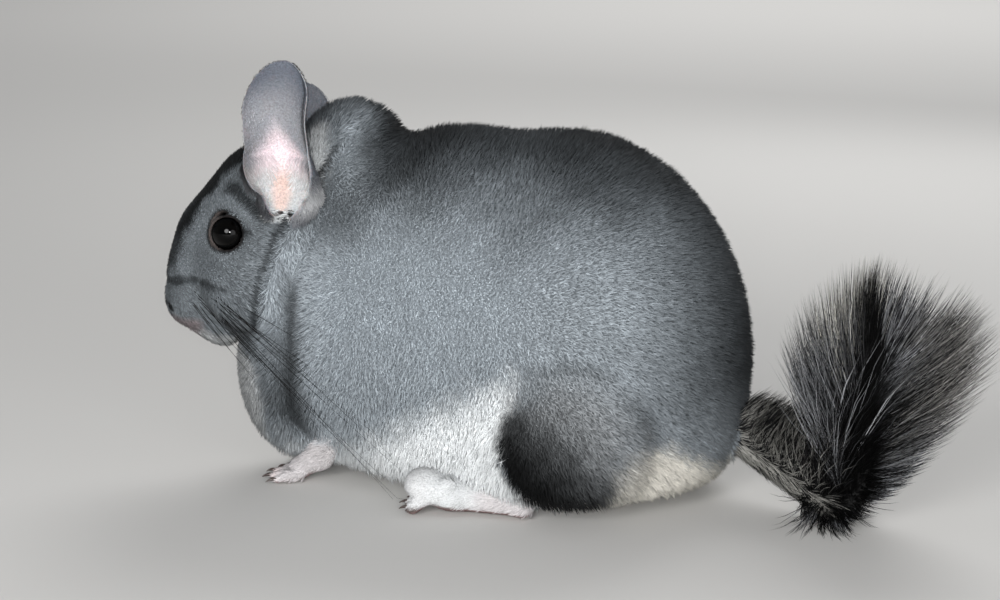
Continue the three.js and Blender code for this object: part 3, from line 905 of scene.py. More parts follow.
    def head(self, points: Points, normals: Points) -> Points:
        """The head's markings, with painted shade in the fold behind the brow and in the nostrils, with the same
        arguments and result as the trunk's.

        Args:
            points: The points.
            normals: The outward directions.

        Returns:
            The colours.
        """
        x, y, z = points.T
        side = np.abs(y)
        wander = Ripple(9.0, 12)(points)
        tone = tone_at(x, (-118.0, -104.0, -84.0, -74.0), (0.22, 0.175, 0.15, 0.19))
        tone *= 1.0 + 0.13 * Ripple(1.5, 14)(points)
        tone = mix(tone, 0.15, smoothstep(z, 74.0, 70.5) * smoothstep(x, -98.0, -110.0))
        crown = smoothstep(side + wander * 1.0 - 0.12 * (z - 95.0), 14.6, 10.2) * smoothstep(z, 72.0, 80.0)
        crown *= smoothstep(x, -66.0, -78.0) * mix(0.8, 1.0, smoothstep(z, 84.0, 92.0))
        tone = mix(tone, self.crown_tone, crown)
        bridge = smoothstep(side, 9.0, 3.5) * smoothstep(x, -108.0, -116.0) * smoothstep(z, 70.0, 74.0)
        tone = mix(tone, 0.035, bridge)
        eye = norms(np.stack([x, side, z], axis=1) - np.array(EYE_CENTRE))
        tone = mix(tone, 0.21, smoothstep(near_route(points, BROW_ARC), 4.2, 1.6) * 0.85)
        tone *= mix(1.0, 0.12, smoothstep(eye, 10.0, 8.7))
        tone *= mix(1.0, 0.15, smoothstep(near_route(points, EYE_CORNER), 2.2, 1.0))
        # Painted shadow of the fold between the brow and the ear.
        tone *= mix(1.0, 0.22, smoothstep(near_route(points, BROW_LINE), 3.8, 1.2))
        line = smoothstep(near_route(points, MUZZLE_LINE) + wander * 0.5 + 0.4 * Ripple(3.0, 15)(points), 2.4, 0.5)
        tone *= mix(1.0, 0.30, line * smoothstep(x, -88.0, -101.0))
        # Painted shade inside the nostrils.
        tone *= mix(1.0, 0.1, smoothstep(near_route(points, NOSTRIL), 2.4, 1.4))
        colour = np.array(self.steel) * tone[:, None]
        lip = smoothstep(z + wander * 0.5, 59.0, 55.5) * smoothstep(x, -108.0, -113.0)
        colour = blend(colour, np.array(self.skin_pink) * 0.5, lip * 0.32)
        chin = smoothstep(z + side * 0.2 + wander + 0.25 * (x + 108.0), 55.0, 51.0) * smoothstep(x, -115.0, -111.0)
        return blend(colour, np.array(self.chalk) * 0.37, chin)

    def body(self, points: Points, normals: Points, headness: np.ndarray) -> Points:
        """The markings from nose to rump, given how far each point belongs to the head.

        Args:
            points: The points.
            normals: The outward directions.
            headness: How far each place is on the head.

        Returns:
            The colours.
        """
        colour = blend(self.trunk(points, normals), self.head(points, normals), headness)
        notch = smoothstep(near_route(points, EAR_NOTCH), 5.5, 2.5)
        colour = blend(colour, np.array(self.chalk) * 0.62, notch)
        return blend(colour, np.array(self.chalk) * 0.66, smoothstep(near_route(points, BEHIND_EAR), 7.4, 1.0))

    def limbs(self, points: Points, normals: Points) -> Points:
        """The feet's markings, with painted shade under the toes and soles, with the same arguments and result as the
        trunk's.

        Args:
            points: The points.
            normals: The outward directions.

        Returns:
            The colours.
        """
        x, _, z = points.T
        toe_ends = np.maximum(smoothstep(x, -76.0, -83.0), smoothstep(x, -12.0, -20.0) * smoothstep(x, -40.0, -30.0))
        colour = blend(np.array(self.paw), np.array(self.skin_pink), toe_ends * 0.25)
        hind_toes = smoothstep(x, -42.0, -34.0) * smoothstep(x, 6.0, -4.0) * 0.85
        colour = blend(colour, np.array(self.chalk) * 0.63, hind_toes)
        # Painted shade under the hind toes, over their dark pads.
        under_toe_shade = smoothstep(z, 4.2, 2.2) * smoothstep(x, -6.0, -12.0) * smoothstep(x, -42.0, -34.0)
        colour = blend(colour, self.pad_dark, under_toe_shade)
        colour = blend(colour, np.array(self.steel) * self.leg_tone, smoothstep(z, 15.0, 22.0))
        # Pink bare soles, darkened by painted shade where they face the floor.
        shaded_sole = smoothstep(-normals[:, 2], 0.3, 0.8) * smoothstep(z, 5.0, 1.5)
        return blend(colour, np.array(self.skin_pink) * 0.35, shaded_sole)


# Skin


@dataclass
class Flesh:
    """One closed form of the skin, with what the coat needs to grow from it.

    Attributes:
        points: Its corners.
        quads: Its faces.
        normals: The way that it faces at each corner.
    """

    points: Points
    quads: np.ndarray
    normals: Points


@dataclass
class Skin:
    """The skin under the coat, inside the solids by the coat's depth: one form from nose to tail, and the feet.

    Attributes:
        anatomy: The animal's outer form.
        markings: Its colours.
        ears: The ears, which the head is hollowed for.
        depth: The coat's depth over the trunk.
        forms: The surfaced forms.
    """

    anatomy: Anatomy
    markings: Markings
    ears: list["Ear"]
    depth: float = 4.0
    forms: dict[Shell, Flesh] = field(default_factory=dict)

    def behind_head(self, points: Points) -> np.ndarray:
        """How far each point is behind the fold that bounds the head.

        Args:
            points: The points.

        Returns:
            The distance in millimetres.
        """
        x, _, z = points.T
        heights = [30.0, 50.0, 61.0, 70.0, 79.0, 86.0, 94.0, 100.0, 106.0, 113.0, 121.0, 128.0, 142.0]
        places = [-84.0, -89.0, -87.2, -85.4, -83.2, -80.6, -77.4, -73.8, -69.0, -64.2, -59.4, -55.4, -49.0]
        return x - np.interp(z, heights, places)

    def headness(self, points: Points) -> np.ndarray:
        """How far each point belongs to the head, from 0 to 1."""
        return smoothstep(self.behind_head(points), 3.0, -4.0)

    def head_fold(self, points: Points) -> np.ndarray:
        """How deep the fold behind the cheek is, from 0 to 1.

        Args:
            points: The points.

        Returns:
            A number from 0 to 1 for each place.
        """
        _, y, z = points.T
        span = smoothstep(np.abs(y), 8.0, 17.0) * smoothstep(z, 134.0, 122.0) * smoothstep(z, 48.0, 60.0)
        return bell(self.behind_head(points), 0.0, 1.5) * span

    def neck_fold(self, points: Points) -> np.ndarray:
        """How deep the long fold down the neck is, from 0 to 1.

        Args:
            points: The points.

        Returns:
            A number from 0 to 1 for each place.
        """
        x, y, z = points.T
        heights = [10.0, 14.0, 19.0, 26.0, 42.0, 57.0, 70.0, 80.0]
        line = np.interp(z, heights, [-58, -62, -68, -72.5, -72.2, -72.2, -73, -74.5])
        span = smoothstep(z, 12.0, 24.0) * smoothstep(z, 86.0, 66.0) * smoothstep(np.abs(y), 12.0, 22.0)
        return bell(x, line, 4.4) * span

    def nape_fold(self, points: Points) -> np.ndarray:
        """How deep the fold between the nape and the back is, from 0 to 1."""
        return bell(near_route(points, NAPE_LINE), 0.0, 3.4) * smoothstep(points[:, 2], 117.0, 125.0)

    def folds(self, points: Points) -> np.ndarray:
        """How deep the skin is folded at each point, from 0 to 1."""
        total = self.head_fold(points) + 0.84 * self.neck_fold(points) + 0.6 * self.nape_fold(points)
        return np.clip(total, 0.0, 1.0)

    def outer(self, points: Points) -> np.ndarray:
        """The form of the coat's outside as a field, with the head and trunk flowing into each other.

        Args:
            points: The points.

        Returns:
            The signed distances.
        """
        z = points[:, 2]
        rounding = mix(4.0, 13.0, smoothstep(z, 58.0, 78.0))
        total = soft_min(self.anatomy.trunk(points), self.anatomy.head(points), rounding)
        total += 2.2 * self.head_fold(points) + 2.4 * self.neck_fold(points) + 1.2 * self.nape_fold(points)
        off = self.behind_head(points)
        lip = bell(off, 5.5, 4.5) * smoothstep(np.abs(points[:, 1]), 8.0, 17.0)
        return total - 0.9 * lip * smoothstep(z, 130.0, 120.0) * smoothstep(z, 50.0, 62.0)

    def trunk_gap(self, points: Points) -> np.ndarray:
        """How far each point of the skin is outside the trunk's and head's own skin."""
        return self.outer(points) + self.depth

    def tail(self, points: Points) -> np.ndarray:
        """The tail's core as a field.

        Args:
            points: The points.

        Returns:
            The signed distances.
        """
        stations = np.linspace(0.0, 1.0, 25)
        place, _ = self.anatomy.tail.at(stations)
        radii = np.interp(stations, [0.0, 0.5, 1.0], [6.0, 5.0, 2.2])
        parts = [
            Limb(tuple(a), tuple(b), ra, rb) for a, b, ra, rb in zip(place[:-1], place[1:], radii[:-1], radii[1:])
        ]
        return soft_union(points, 1.0, parts)

    def face(self, points: Points, total: np.ndarray) -> np.ndarray:
        """The skin's field near the face, with its lids, nostrils and mouth worked in.

        Args:
            points: The points.
            total: The field before that.

        Returns:
            The signed distances.
        """
        folded = on_right(points)
        centre = np.array(EYE_CENTRE)
        axis = unit(np.array(EYE_OUTWARD))
        reach = (folded - centre) @ axis
        flat = norms(folded - centre - reach[:, None] * axis)
        total = total + 0.5 * bell(near_route(points, MUZZLE_LINE), 0.0, 1.5)
        total = total + 1.1 * bell(near_route(points, BROW_LINE), 0.0, 2.4)
        total = total + 0.7 * bell(near_route(points, EYE_CORNER), 0.0, 1.0)
        socket = bell(flat, 10.0, 2.6) * smoothstep(reach, 0.0, 3.0)
        total = total - 0.7 * socket
        lid = np.hypot(flat - 6.5, reach - 4.0) - 0.75
        total = soft_min(total, lid, 1.5)
        total = soft_max(total, 7.45 - norms(folded - centre), 0.4)
        pad = Mass((NOSE_X + 4.6, 0, 66.4), (3.2, 4.4, 3.4), pitch=-20)
        total = soft_min(total, pad(points) + 0.1, 1.4)
        nostril = Mass((-124.6, 7.6, 62.1), (2.4, 1.3, 0.95), pitch=-20, yaw=48)
        total = soft_max(total, -nostril(folded), 0.4)
        mouth = self.groove(folded, [(-120, 0, 54.2), (-116.5, 5, 53.2), (-113, 7.8, 51.8), (-108.5, 9.0, 49.6)], 0.8)
        cleft = self.groove(folded, [(-127, 0, 62.5), (-125.5, 0, 59), (-121, 0, 54.5)], 0.55)
        return soft_max(total, -soft_min(mouth, cleft, 0.4), 0.5)

    def groove(self, points: Points, route: list[tuple[float, float, float]], radius: float) -> np.ndarray:
        """A groove's field along a route that is pressed onto the head.

        Args:
            points: Where it is wanted.
            route: The groove's line, near the surface.
            radius: Half the groove's width.

        Returns:
            The distance from the groove at each point.
        """
        line = np.asarray(route, float)
        centre = vec(-105.0, 0.0, 64.0)
        ray = unit(line - centre)
        near, far = np.zeros(len(line)), np.full(len(line), 60.0)
        for _ in range(30):
            middle = (near + far) / 2.0
            inside = self.anatomy.head(centre + ray * middle[:, None]) + 0.6 < 0.0
            near = np.where(inside, middle, near)
            far = np.where(inside, far, middle)
        line = centre + ray * near[:, None]
        parts = [Limb(tuple(a), tuple(b), radius, radius) for a, b in zip(line[:-1], line[1:])]
        return np.minimum.reduce([part(points) for part in parts])

    def body(self, points: Points) -> np.ndarray:
        """The skin from nose to tail as a field.

        Args:
            points: The points.

        Returns:
            The signed distances.
        """
        x = points[:, 0]
        face_depth = 0.5 + 2.3 * smoothstep(x, NOSE_X + 6.0, NOSE_X + 52.0)
        total = self.outer(points) + mix(self.depth, face_depth, self.headness(points))
        near = (x < -80.0) & (points[:, 2] > 44.0)
        if near.any():
            total[near] = self.face(points[near], total[near])
        near = x > 60.0
        if near.any():
            total[near] = soft_min(total[near], self.tail(points[near]), 6.0)
        near = (x > -115.0) & (x < -45.0) & (points[:, 2] > 88.0)
        if near.any():
            for ear in self.ears:
                total[near] = soft_max(total[near], -ear.hollow(points[near]), 1.5)
        return total

    def limbs(self, points: Points) -> np.ndarray:
        """The feet's and forelegs' skin as a field.

        Args:
            points: The points.

        Returns:
            The signed distances.
        """
        total = np.full(len(points), 50.0)
        for side in Side:
            for leg, digits, radii in (
                (self.anatomy.front[side], self.anatomy.fingers, (10.0, 5.0, 4.0)),
                (self.anatomy.hind[side], self.anatomy.toes, (7.0, 4.2, 5.0)),
            ):
                middle = np.asarray(leg.ball)
                near = np.abs(points[:, 1] - middle[1]) < 30.0
                near &= np.abs(points[:, 0] - middle[0] - 12.0) < 45.0
                if not near.any():
                    continue
                spot = points[near]
                upper, ankle, ball = radii
                parts = [Limb(leg.upper, leg.ankle, upper, ankle), Limb(leg.ankle, leg.ball, ankle, ball)]
                for start, end in self.anatomy.digit_lines(leg, side, digits):
                    root = tuple(start - (0.0, 0.0, 0.2))
                    knuckle = (start + end) / 2.0 + (0.0, 0.0, 0.7)
                    slim = digits.radius - 0.45
                    parts.append(Limb(root, tuple(knuckle), slim, slim * 0.95))
                    parts.append(Limb(tuple(knuckle), tuple(end), slim * 0.95, slim * 0.85))
                if leg is self.anatomy.hind[side]:
                    parts.append(Mass((-18.6, side.value * 47.0, 9.4), (7.6, 8.0, 5.8)))
                    parts.append(Mass((-9.5, side.value * 47.0, 6.2), (9.0, 7.2, 5.4)))
                total[near] = np.minimum(total[near], soft_union(spot, 2.2, parts))
        return soft_max(total, 0.25 - points[:, 2], 0.6)

    def surface(self) -> None:
        """Surfaces both forms, finest at the face and the feet."""
        body_axes = (
            graded(-133.0, 146.0, lambda x: 0.72 if x < -92.0 else (1.3 if x < -56.0 else 1.9)),
            graded(-66.0, 66.0, lambda y: 0.85 if abs(y) < 15.0 else (1.1 if abs(y) < 30.0 else 1.8)),
            graded(-2.0, 142.0, lambda z: 1.8 if z < 44.0 or z > 126.0 else 0.95),
        )
        limb_axes = (
            graded(-94.0, 46.0, lambda x: 0.75),
            graded(-62.0, 62.0, lambda y: 0.75),
            graded(-1.0, 40.0, lambda z: 0.7 if z < 14.0 else 1.6),
        )
        for shell, form, axes in ((Shell.BODY, self.body, body_axes), (Shell.LIMBS, self.limbs, limb_axes)):
            points, quads = surface_of(form, axes)
            self.forms[shell] = Flesh(points, quads, slope_of(form, points))
            LOG.info("%s form: %d quads", shell.value, len(quads))

    def build(self, bench: Bench) -> bpy.types.Object:
        """Makes the skin as one piece.

        Args:
            bench: The maker's axes.

        Returns:
            The skin's object.
        """
        body = self.forms[Shell.BODY]
        tint = self.markings.body(body.points, body.normals, self.headness(body.points))
        # Under the coat the skin is 0.7 of its markings. Painted shade takes it down to 0.3 in the folds.
        tint *= mix(0.7, 0.3, self.folds(body.points))[:, None]
        pad = norms(body.points - np.array(NOSE_PAD))
        tint = blend(tint, np.array(self.markings.nose), smoothstep(pad, 6.0, 4.2))
        front = smoothstep(body.points[:, 0] - EYE_CENTRE[0], -1.0, -5.0)[:, None]
        tint = blend(tint, vec(0.012, 0.010, 0.010) + front * vec(0.06, 0.05, 0.046), self.lid_share(body.points))
        on_tail = smoothstep(self.trunk_gap(body.points), 1.5, 3.5) * (body.points[:, 0] > 60.0)
        tint = blend(tint, vec(0.02, 0.02, 0.02), on_tail)
        limbs = self.forms[Shell.LIMBS]
        foot_tint = self.markings.limbs(limbs.points, limbs.normals) * 0.9
        sheets = [Sheet(body.points, body.quads, tint), Sheet(limbs.points, limbs.quads, foot_tint)]
        made = Sheet.joined(sheets).mesh_object("skin", bench)
        made.data.materials.append(SKIN_FINISH.material())
        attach(made, BODY)
        nodes = ["head", "neck", "torso", "tail_base", "tail_middle", "tail_tip"]
        for side in Side:
            nodes += [f"{part}_{side.label}" for part in ("haunch", "foreleg", "front_paw", "hind_foot")]
        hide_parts(*nodes)
        return made

    def lid_share(self, points: Points) -> np.ndarray:
        """How far each point belongs to the bare dark rims of the eyes, from 0 to 1."""
        return smoothstep(norms(on_right(points) - np.array(EYE_CENTRE)), 8.6, 8.1)


# Coat


@dataclass
class Roots:
    """Where hairs grow, and which way.

    Attributes:
        points: Their roots.
        normals: The way that the skin faces there.
        lie: The unit direction that the hair lies in, along the skin.
        length: Each hair's length.
        width: Each hair's width.
        lift: Each hair's angle off the skin at its root, in radians.
        fall: The same at its tip.
        colours: The markings there.
        places: Each hair's place on the unwrap.
    """

    points: Points
    normals: Points
    lie: Points
    length: np.ndarray
    width: np.ndarray
    lift: np.ndarray
    fall: np.ndarray
    colours: Points
    places: Points

    def pick(self, chosen: np.ndarray) -> "Roots":
        """The same for some of the hairs only."""
        return Roots(**{name: values[chosen] for name, values in vars(self).items()})

    def __len__(self) -> int:
        """How many hairs there are."""
        return len(self.points)


@dataclass(frozen=True)
class HairShape:
    """How one kind of hair is made: a thin closed spindle with a point at either end.

    Attributes:
        stations: Shares of the length where the hair has a ring.
        widths: The width at each ring, as a share of the hair's.
        flatness: The thickness as a share of the width.
        shades: How light the hair is at its root, at each ring and at its tip.
        sides: How many sides a ring has.
        softness: How far the shading follows the skin instead of the single hair.
    """

    stations: tuple[float, ...] = (0.52,)
    widths: tuple[float, ...] = (1.0,)
    flatness: float = 0.6
    shades: tuple[float, ...] = (0.72, 0.97, 1.03)
    sides: int = 3
    softness: float = 0.82

    @property
    def triangles(self) -> int:
        """How many triangles one hair has."""
        return 2 * self.sides * len(self.stations)

    def spine(self, roots: Roots, sway: np.ndarray) -> list[Points]:
        """The middle line of each hair: its root, its rings and its tip.

        Args:
            roots: The hairs' roots.
            sway: How far each hair sways aside.

        Returns:
            The rings' middles, from root to tip.
        """
        aside = unit(np.cross(roots.lie, roots.normals))
        marks = (0.0,) + self.stations + (1.0,)
        line = [roots.points - roots.normals * 0.3]
        for last, mark in zip(marks[:-1], marks[1:]):
            middle = (last + mark) / 2.0
            angle = roots.lift + (roots.fall - roots.lift) * middle
            step = roots.lie * np.cos(angle)[:, None] + roots.normals * np.sin(angle)[:, None]
            step = unit(step + aside * (sway * 2.0 * middle)[:, None])
            line.append(line[-1] + step * (roots.length * (mark - last))[:, None])
        return line

    def grow(self, roots: Roots, sway: np.ndarray, tones: np.ndarray, tip_tones: np.ndarray) -> Sheet:
        """Grows a solid tapered hair from each root.

        Args:
            roots: Where and how the hairs grow.
            sway: How far each bends sideways, as a share of its length.
            tones: Each hair's brightness.
            tip_tones: The brightness of each hair's tip.

        Returns:
            All hairs as one sheet of triangles.
        """
        count, rings, sides = len(roots), len(self.stations), self.sides
        aside = unit(np.cross(roots.lie, roots.normals))
        line = self.spine(roots, sway)
        corners = np.empty((count, rings * sides + 2, 3))
        facing = np.empty_like(corners)
        shades = np.empty(corners.shape[:2])
        corners[:, 0], corners[:, -1] = line[0], line[-1]
        facing[:, 0], facing[:, -1] = roots.normals, roots.normals
        shades[:, 0], shades[:, -1] = self.shades[0] * tones, self.shades[-1] * tip_tones
        turns = 2.0 * math.pi * (np.arange(sides) + 0.25) / sides
        for k in range(rings):
            ahead = unit(line[k + 2] - line[k])
            over = unit(np.cross(aside, ahead))
            half = roots.width * self.widths[k] / 2.0
            tone = mix(tones, tip_tones, self.stations[k] ** 2)
            for j, turn in enumerate(turns):
                out = aside * math.cos(turn) + over * (math.sin(turn) * self.flatness)
                corners[:, 1 + k * sides + j] = line[k + 1] + out * half[:, None]
                facing[:, 1 + k * sides + j] = unit(out)
                shades[:, 1 + k * sides + j] = self.shades[k + 1] * tone
        corners[:, :, 2] = np.maximum(corners[:, :, 2], 0.15)
        facing = unit(facing * (1.0 - self.softness) + roots.normals[:, None, :] * self.softness)
        rows, across, along = self.pattern()
        first = corners[: min(count, 500)][:, rows]
        if np.sum(np.cross(first[:, :, 0], first[:, :, 1]) * first[:, :, 2]) < 0.0 and count:
            rows, across, along = rows[:, ::-1], across[:, ::-1], along[:, ::-1]
        base = (np.arange(count) * corners.shape[1])[:, None, None]
        colours = np.clip(roots.colours[:, None, :] * shades[:, :, None], 0.0, 1.0)
        patches = roots.places[:, None, None, :] + np.stack([across, along], axis=-1)[None] * 0.003
        return Sheet(
            corners.reshape(-1, 3),
            (rows[None] + base).reshape(-1, 3),
            colours.reshape(-1, 3),
            patches.reshape(-1, 2),
            facing.reshape(-1, 3),
        )

    def pattern(self) -> tuple[np.ndarray, np.ndarray, np.ndarray]:
        """The faces of one hair.

        Returns:
            Rows of three corner indices, and how far across and along the patch each face corner is.
        """
        sides, rings = self.sides, len(self.stations)
        tip = sides * rings + 1
        marks = (0.0,) + self.stations + (1.0,)
        rows: list[tuple[int, int, int]] = []
        across: list[tuple[float, float, float]] = []
        along: list[tuple[float, float, float]] = []
        for j in range(sides):
            u, v = j / sides, (j + 1) / sides
            following = (j + 1) % sides
            rows.append((0, 1 + following, 1 + j))
            across.append(((u + v) / 2.0, v, u))
            along.append((0.0, marks[1], marks[1]))
            for k in range(rings - 1):
                a, b = 1 + k * sides + j, 1 + k * sides + following
                rows += [(a, b, b + sides), (a, b + sides, a + sides)]
                across += [(u, v, v), (u, v, u)]
                along += [(marks[k + 1], marks[k + 1], marks[k + 2]), (marks[k + 1], marks[k + 2], marks[k + 2])]
            last = 1 + (rings - 1) * sides
            rows.append((last + j, last + following, tip))
            across.append((u, v, (u + v) / 2.0))
            along.append((marks[-2], marks[-2], 1.0))
        return np.array(rows), np.array(across), np.array(along)


class Unwrap:
    """A flat map of a form: how far along its axis a point is, and at what angle round it."""

    def __init__(self, start: Points, end: Points, corner: tuple[float, float], size: tuple[float, float]) -> None:
        """Keeps the axis and the part of the map that the form takes up.

        Args:
            start: The axis's start.
            end: The axis's end.
            corner: The part's corner on the map.
            size: The part's size on the map.
        """
        self.start = np.asarray(start, float)
        self.axis = np.asarray(end, float) - self.start
        self.corner = np.asarray(corner)
        self.size = np.asarray(size)

    def __call__(self, points: Points) -> Points:
        """The place on the map of each point.

        Args:
            points: The points.

        Returns:
            The places on the map, one a row.
        """
        along = (points - self.start) @ self.axis / (self.axis @ self.axis)
        ahead = unit(self.axis)
        side = unit(np.cross(ahead, vec(0, 0, 1)))
        over = np.cross(side, ahead)
        offset = points - self.start
        angle = np.arctan2(offset @ side, -(offset @ over)) / (2.0 * math.pi) + 0.5
        spread = np.stack([np.clip(along, 0.0, 1.0), angle], axis=1)
        return self.corner + spread * self.size * 0.99


def scatter(flesh: Flesh, density: np.ndarray, draw: np.random.Generator) -> tuple[Points, Points]:
    """Draws points over a form.

    Args:
        flesh: The form.
        density: How many points a square millimetre each quad gets.
        draw: The seeded draw.

    Returns:
        The points and the normals there.
    """
    corners = flesh.points[flesh.quads]
    areas = norms(np.cross(corners[:, 2] - corners[:, 0], corners[:, 3] - corners[:, 1])) / 2.0
    wanted = areas * density
    counts = np.floor(wanted + draw.random(len(wanted))).astype(int)
    index = np.repeat(np.arange(len(counts)), counts)
    u, v = draw.random(len(index))[:, None], draw.random(len(index))[:, None]
    weights = [(1 - u) * (1 - v), u * (1 - v), u * v, (1 - u) * v]
    quads = flesh.quads[index]
    points = sum(w * flesh.points[quads[:, k]] for k, w in enumerate(weights))
    normals = sum(w * flesh.normals[quads[:, k]] for k, w in enumerate(weights))
    return points, unit(normals)


@dataclass
class Coat:
    """The short plush coat over the trunk, head and feet.

    Attributes:
        skin: The skin that it grows from.
        markings: Its colours.
        seed: The draw's seed.
        trunk_density: How many hairs a square millimetre of the trunk has.
        head_density: The same for the back of the head.
        muzzle_density: The same for the muzzle.
        limb_density: The same for the feet.
        trunk_length: How long the trunk's hairs are.
        head_lengths: How long the head's are, at the muzzle and the crown.
        trunk_width: How thick the trunk's hairs are.
        head_widths: How thick the head's are, at the muzzle and the crown.
        trunk_lift: How steeply the trunk's hairs leave the skin, in degrees.
        head_lifts: The same at the muzzle and the crown.
        trunk_fall: How steeply they stand at their tips.
        head_falls: The same at the muzzle and the crown.
        dark_share: The share of the hairs whose tips are dark.
        speckle: How much single hairs of the trunk differ in tone.
        head_speckle: The same for the head.
        limb_speckle: The same for the feet.
    """

    skin: Skin
    markings: Markings
    seed: int = 7
    trunk_density: float = 2.25
    head_density: float = 3.3
    muzzle_density: float = 5.0
    limb_density: float = 2.6
    trunk_length: float = 5.4
    head_lengths: tuple[float, float] = (2.0, 4.8)
    trunk_width: float = 0.52
    head_widths: tuple[float, float] = (0.36, 0.44)
    trunk_lift: float = 76.0
    head_lifts: tuple[float, float] = (40.0, 62.0)
    trunk_fall: float = 57.0
    head_falls: tuple[float, float] = (20.0, 38.0)
    dark_share: float = 0.38
    speckle: float = 0.14
    head_speckle: float = 0.22
    limb_speckle: float = 0.08

    def lie_along(self, comb: Points, normals: Points) -> Points:
        """The comb's direction laid flat on the skin."""
        return unit(comb - np.sum(comb * normals, axis=1, keepdims=True) * normals)

    def trunk_comb(self, points: Points) -> Points:
        """The way that the trunk's hair is combed: back, and down over the sides.

        Args:
            points: The points.

        Returns:
            The directions.
        """
        x, y, _ = points.T
        comb = np.zeros_like(points)
        comb[:, 0] = 1.0
        comb[:, 2] = -0.25 - 0.5 * smoothstep(x, 30.0, 90.0) - 1.1 * smoothstep(x, -62.0, -84.0)
        comb[:, 2] += 0.13 * Ripple(34.0, 21)(points) + 0.10 * Ripple(9.0, 22)(points)
        comb[:, 1] += 0.16 * Ripple(12.0, 23)(points)
        comb[:, 2] -= 0.5 * smoothstep(self.skin.anatomy.haunch(points), 6.0, 0.0)
        return comb

    def head_comb(self, points: Points, away: Points, eye: np.ndarray) -> Points:
        """The way that the head's hair is combed: back from the nose, and round the eyes.

        Args:
            points: The points.
            away: The direction from the eye.
            eye: The distance from the eye.

        Returns:
            The directions.
        """
        z = points[:, 2]
        comb = np.zeros_like(points)
        comb[:, 0] = 1.0
        comb[:, 2] = 0.25 * smoothstep(z, 80.0, 104.0) - 0.55 * smoothstep(z, 84.0, 60.0)
        comb += 0.10 * np.stack([Ripple(8.0, seed)(points) for seed in (31, 32, 33)], axis=1)
        return comb + away * (0.9 * smoothstep(eye, 15.0, 8.5))[:, None]

    def body_roots(self, draw: np.random.Generator) -> Roots:
        """The roots from the nose to the rump.

        Args:
            draw: The seeded draw.

        Returns:
            The roots with their lie, sizes and colours.
        """
        flesh = self.skin.forms[Shell.BODY]
        middle = flesh.points[flesh.quads].mean(axis=1)
        facing = unit(flesh.normals[flesh.quads].mean(axis=1))
        muzzle = smoothstep(middle[:, 0], -100.0, -118.0)
        density = mix(self.head_density, self.muzzle_density, muzzle)
        density = mix(self.trunk_density, density, self.skin.headness(middle))
        density[(facing[:, 2] < -0.75) & (middle[:, 2] < 9.0)] *= 0.15
        density[(middle[:, 0] > 60.0) & (self.skin.trunk_gap(middle) > 3.0)] = 0.0
        points, normals = scatter(flesh, density, draw)
        folded = on_right(points)
        eye = norms(folded - np.array(EYE_CENTRE))
        pad = norms(points - np.array(NOSE_PAD))
        keep = (eye > 8.3) & (pad > 4.8) & (near_route(points, NOSTRIL) > 1.5)
        keep &= near_route(points, EAR_NOTCH) > 3.0
        for ear in self.skin.ears:
            keep &= (ear.hollow(points) > 0.8) & (ear.hollow(points + normals * 3.5) > 0.8)
        points, normals, folded, eye = points[keep], normals[keep], folded[keep], eye[keep]
        return self.dressed_roots(points, normals, folded, eye, draw)

    def dressed_roots(
        self, points: Points, normals: Points, folded: Points, eye: np.ndarray, draw: np.random.Generator
    ) -> Roots:
        """Gives each root of the body its lie, size and colour.

        Args:
            points: The roots.
            normals: The way that the skin faces there.
            folded: The roots with both sides folded onto the right one.
            eye: How far each root is from the nearer eye's middle.
            draw: The seeded draw.

        Returns:
            The roots.
        """
        x, y, z = points.T
        count = len(points)
        headness = self.skin.headness(points)
        folds = self.skin.folds(points)
        away = unit(folded - np.array(EYE_CENTRE))
        away[:, 1] *= np.sign(y)
        comb = blend(self.trunk_comb(points), self.head_comb(points, away, eye), headness)
        comb = unit(comb) + draw.normal(0.0, 1.0, (count, 3)) * mix(0.32, 0.16, headness)[:, None]
        lie = self.lie_along(comb, normals)
        back = smoothstep(x, NOSE_X + 8.0, NOSE_X + 52.0)
        head_length = mix(*self.head_lengths, back) * mix(0.5, 1.0, smoothstep(eye, 9.0, 15.0))
        length = mix(self.trunk_length * (1.0 + 0.09 * Ripple(7.0, 25)(points)), head_length, headness)
        length *= draw.uniform(0.84, 1.12, count) * mix(1.0, 0.7, folds)
        under = smoothstep(z, 12.0, 4.0)
        lift = mix(self.trunk_lift + 6.0 * Ripple(5.0, 26)(points), mix(*self.head_lifts, back), headness)
        lift = np.radians(lift + draw.normal(0, 5.0, count)) * (1.0 - 0.6 * under)
        fall = mix(self.trunk_fall, mix(*self.head_falls, back), headness)
        fall = np.radians(fall + draw.normal(0, 7.0, count)) * (1.0 - 0.5 * under)
        width = mix(self.trunk_width, mix(*self.head_widths, back), headness) * draw.uniform(0.8, 1.2, count)
        tips = points + (lie * 0.62 + normals * 0.5) * length[:, None]
        colours = self.markings.body(tips, normals, self.skin.headness(tips))
        # Painted shade: hairs in the skin's folds are darkened to 0.16 of their colour.
        colours *= mix(1.0, 0.16, self.skin.folds(tips))[:, None]
        mottle = 1.0 + 0.05 * Ripple(16.0, 29)(points) + 0.05 * Ripple(6.0, 27)(points)
        mottle += mix(0.14, 0.10, headness) * Ripple(2.2, 28)(points)
        unwrap = Unwrap(vec(-132, 0, 66), vec(100, 0, 66), (0.0, 0.0), (1.0, 0.6))
        return Roots(points, normals, lie, length, width, lift, fall, colours * mottle[:, None], unwrap(points))

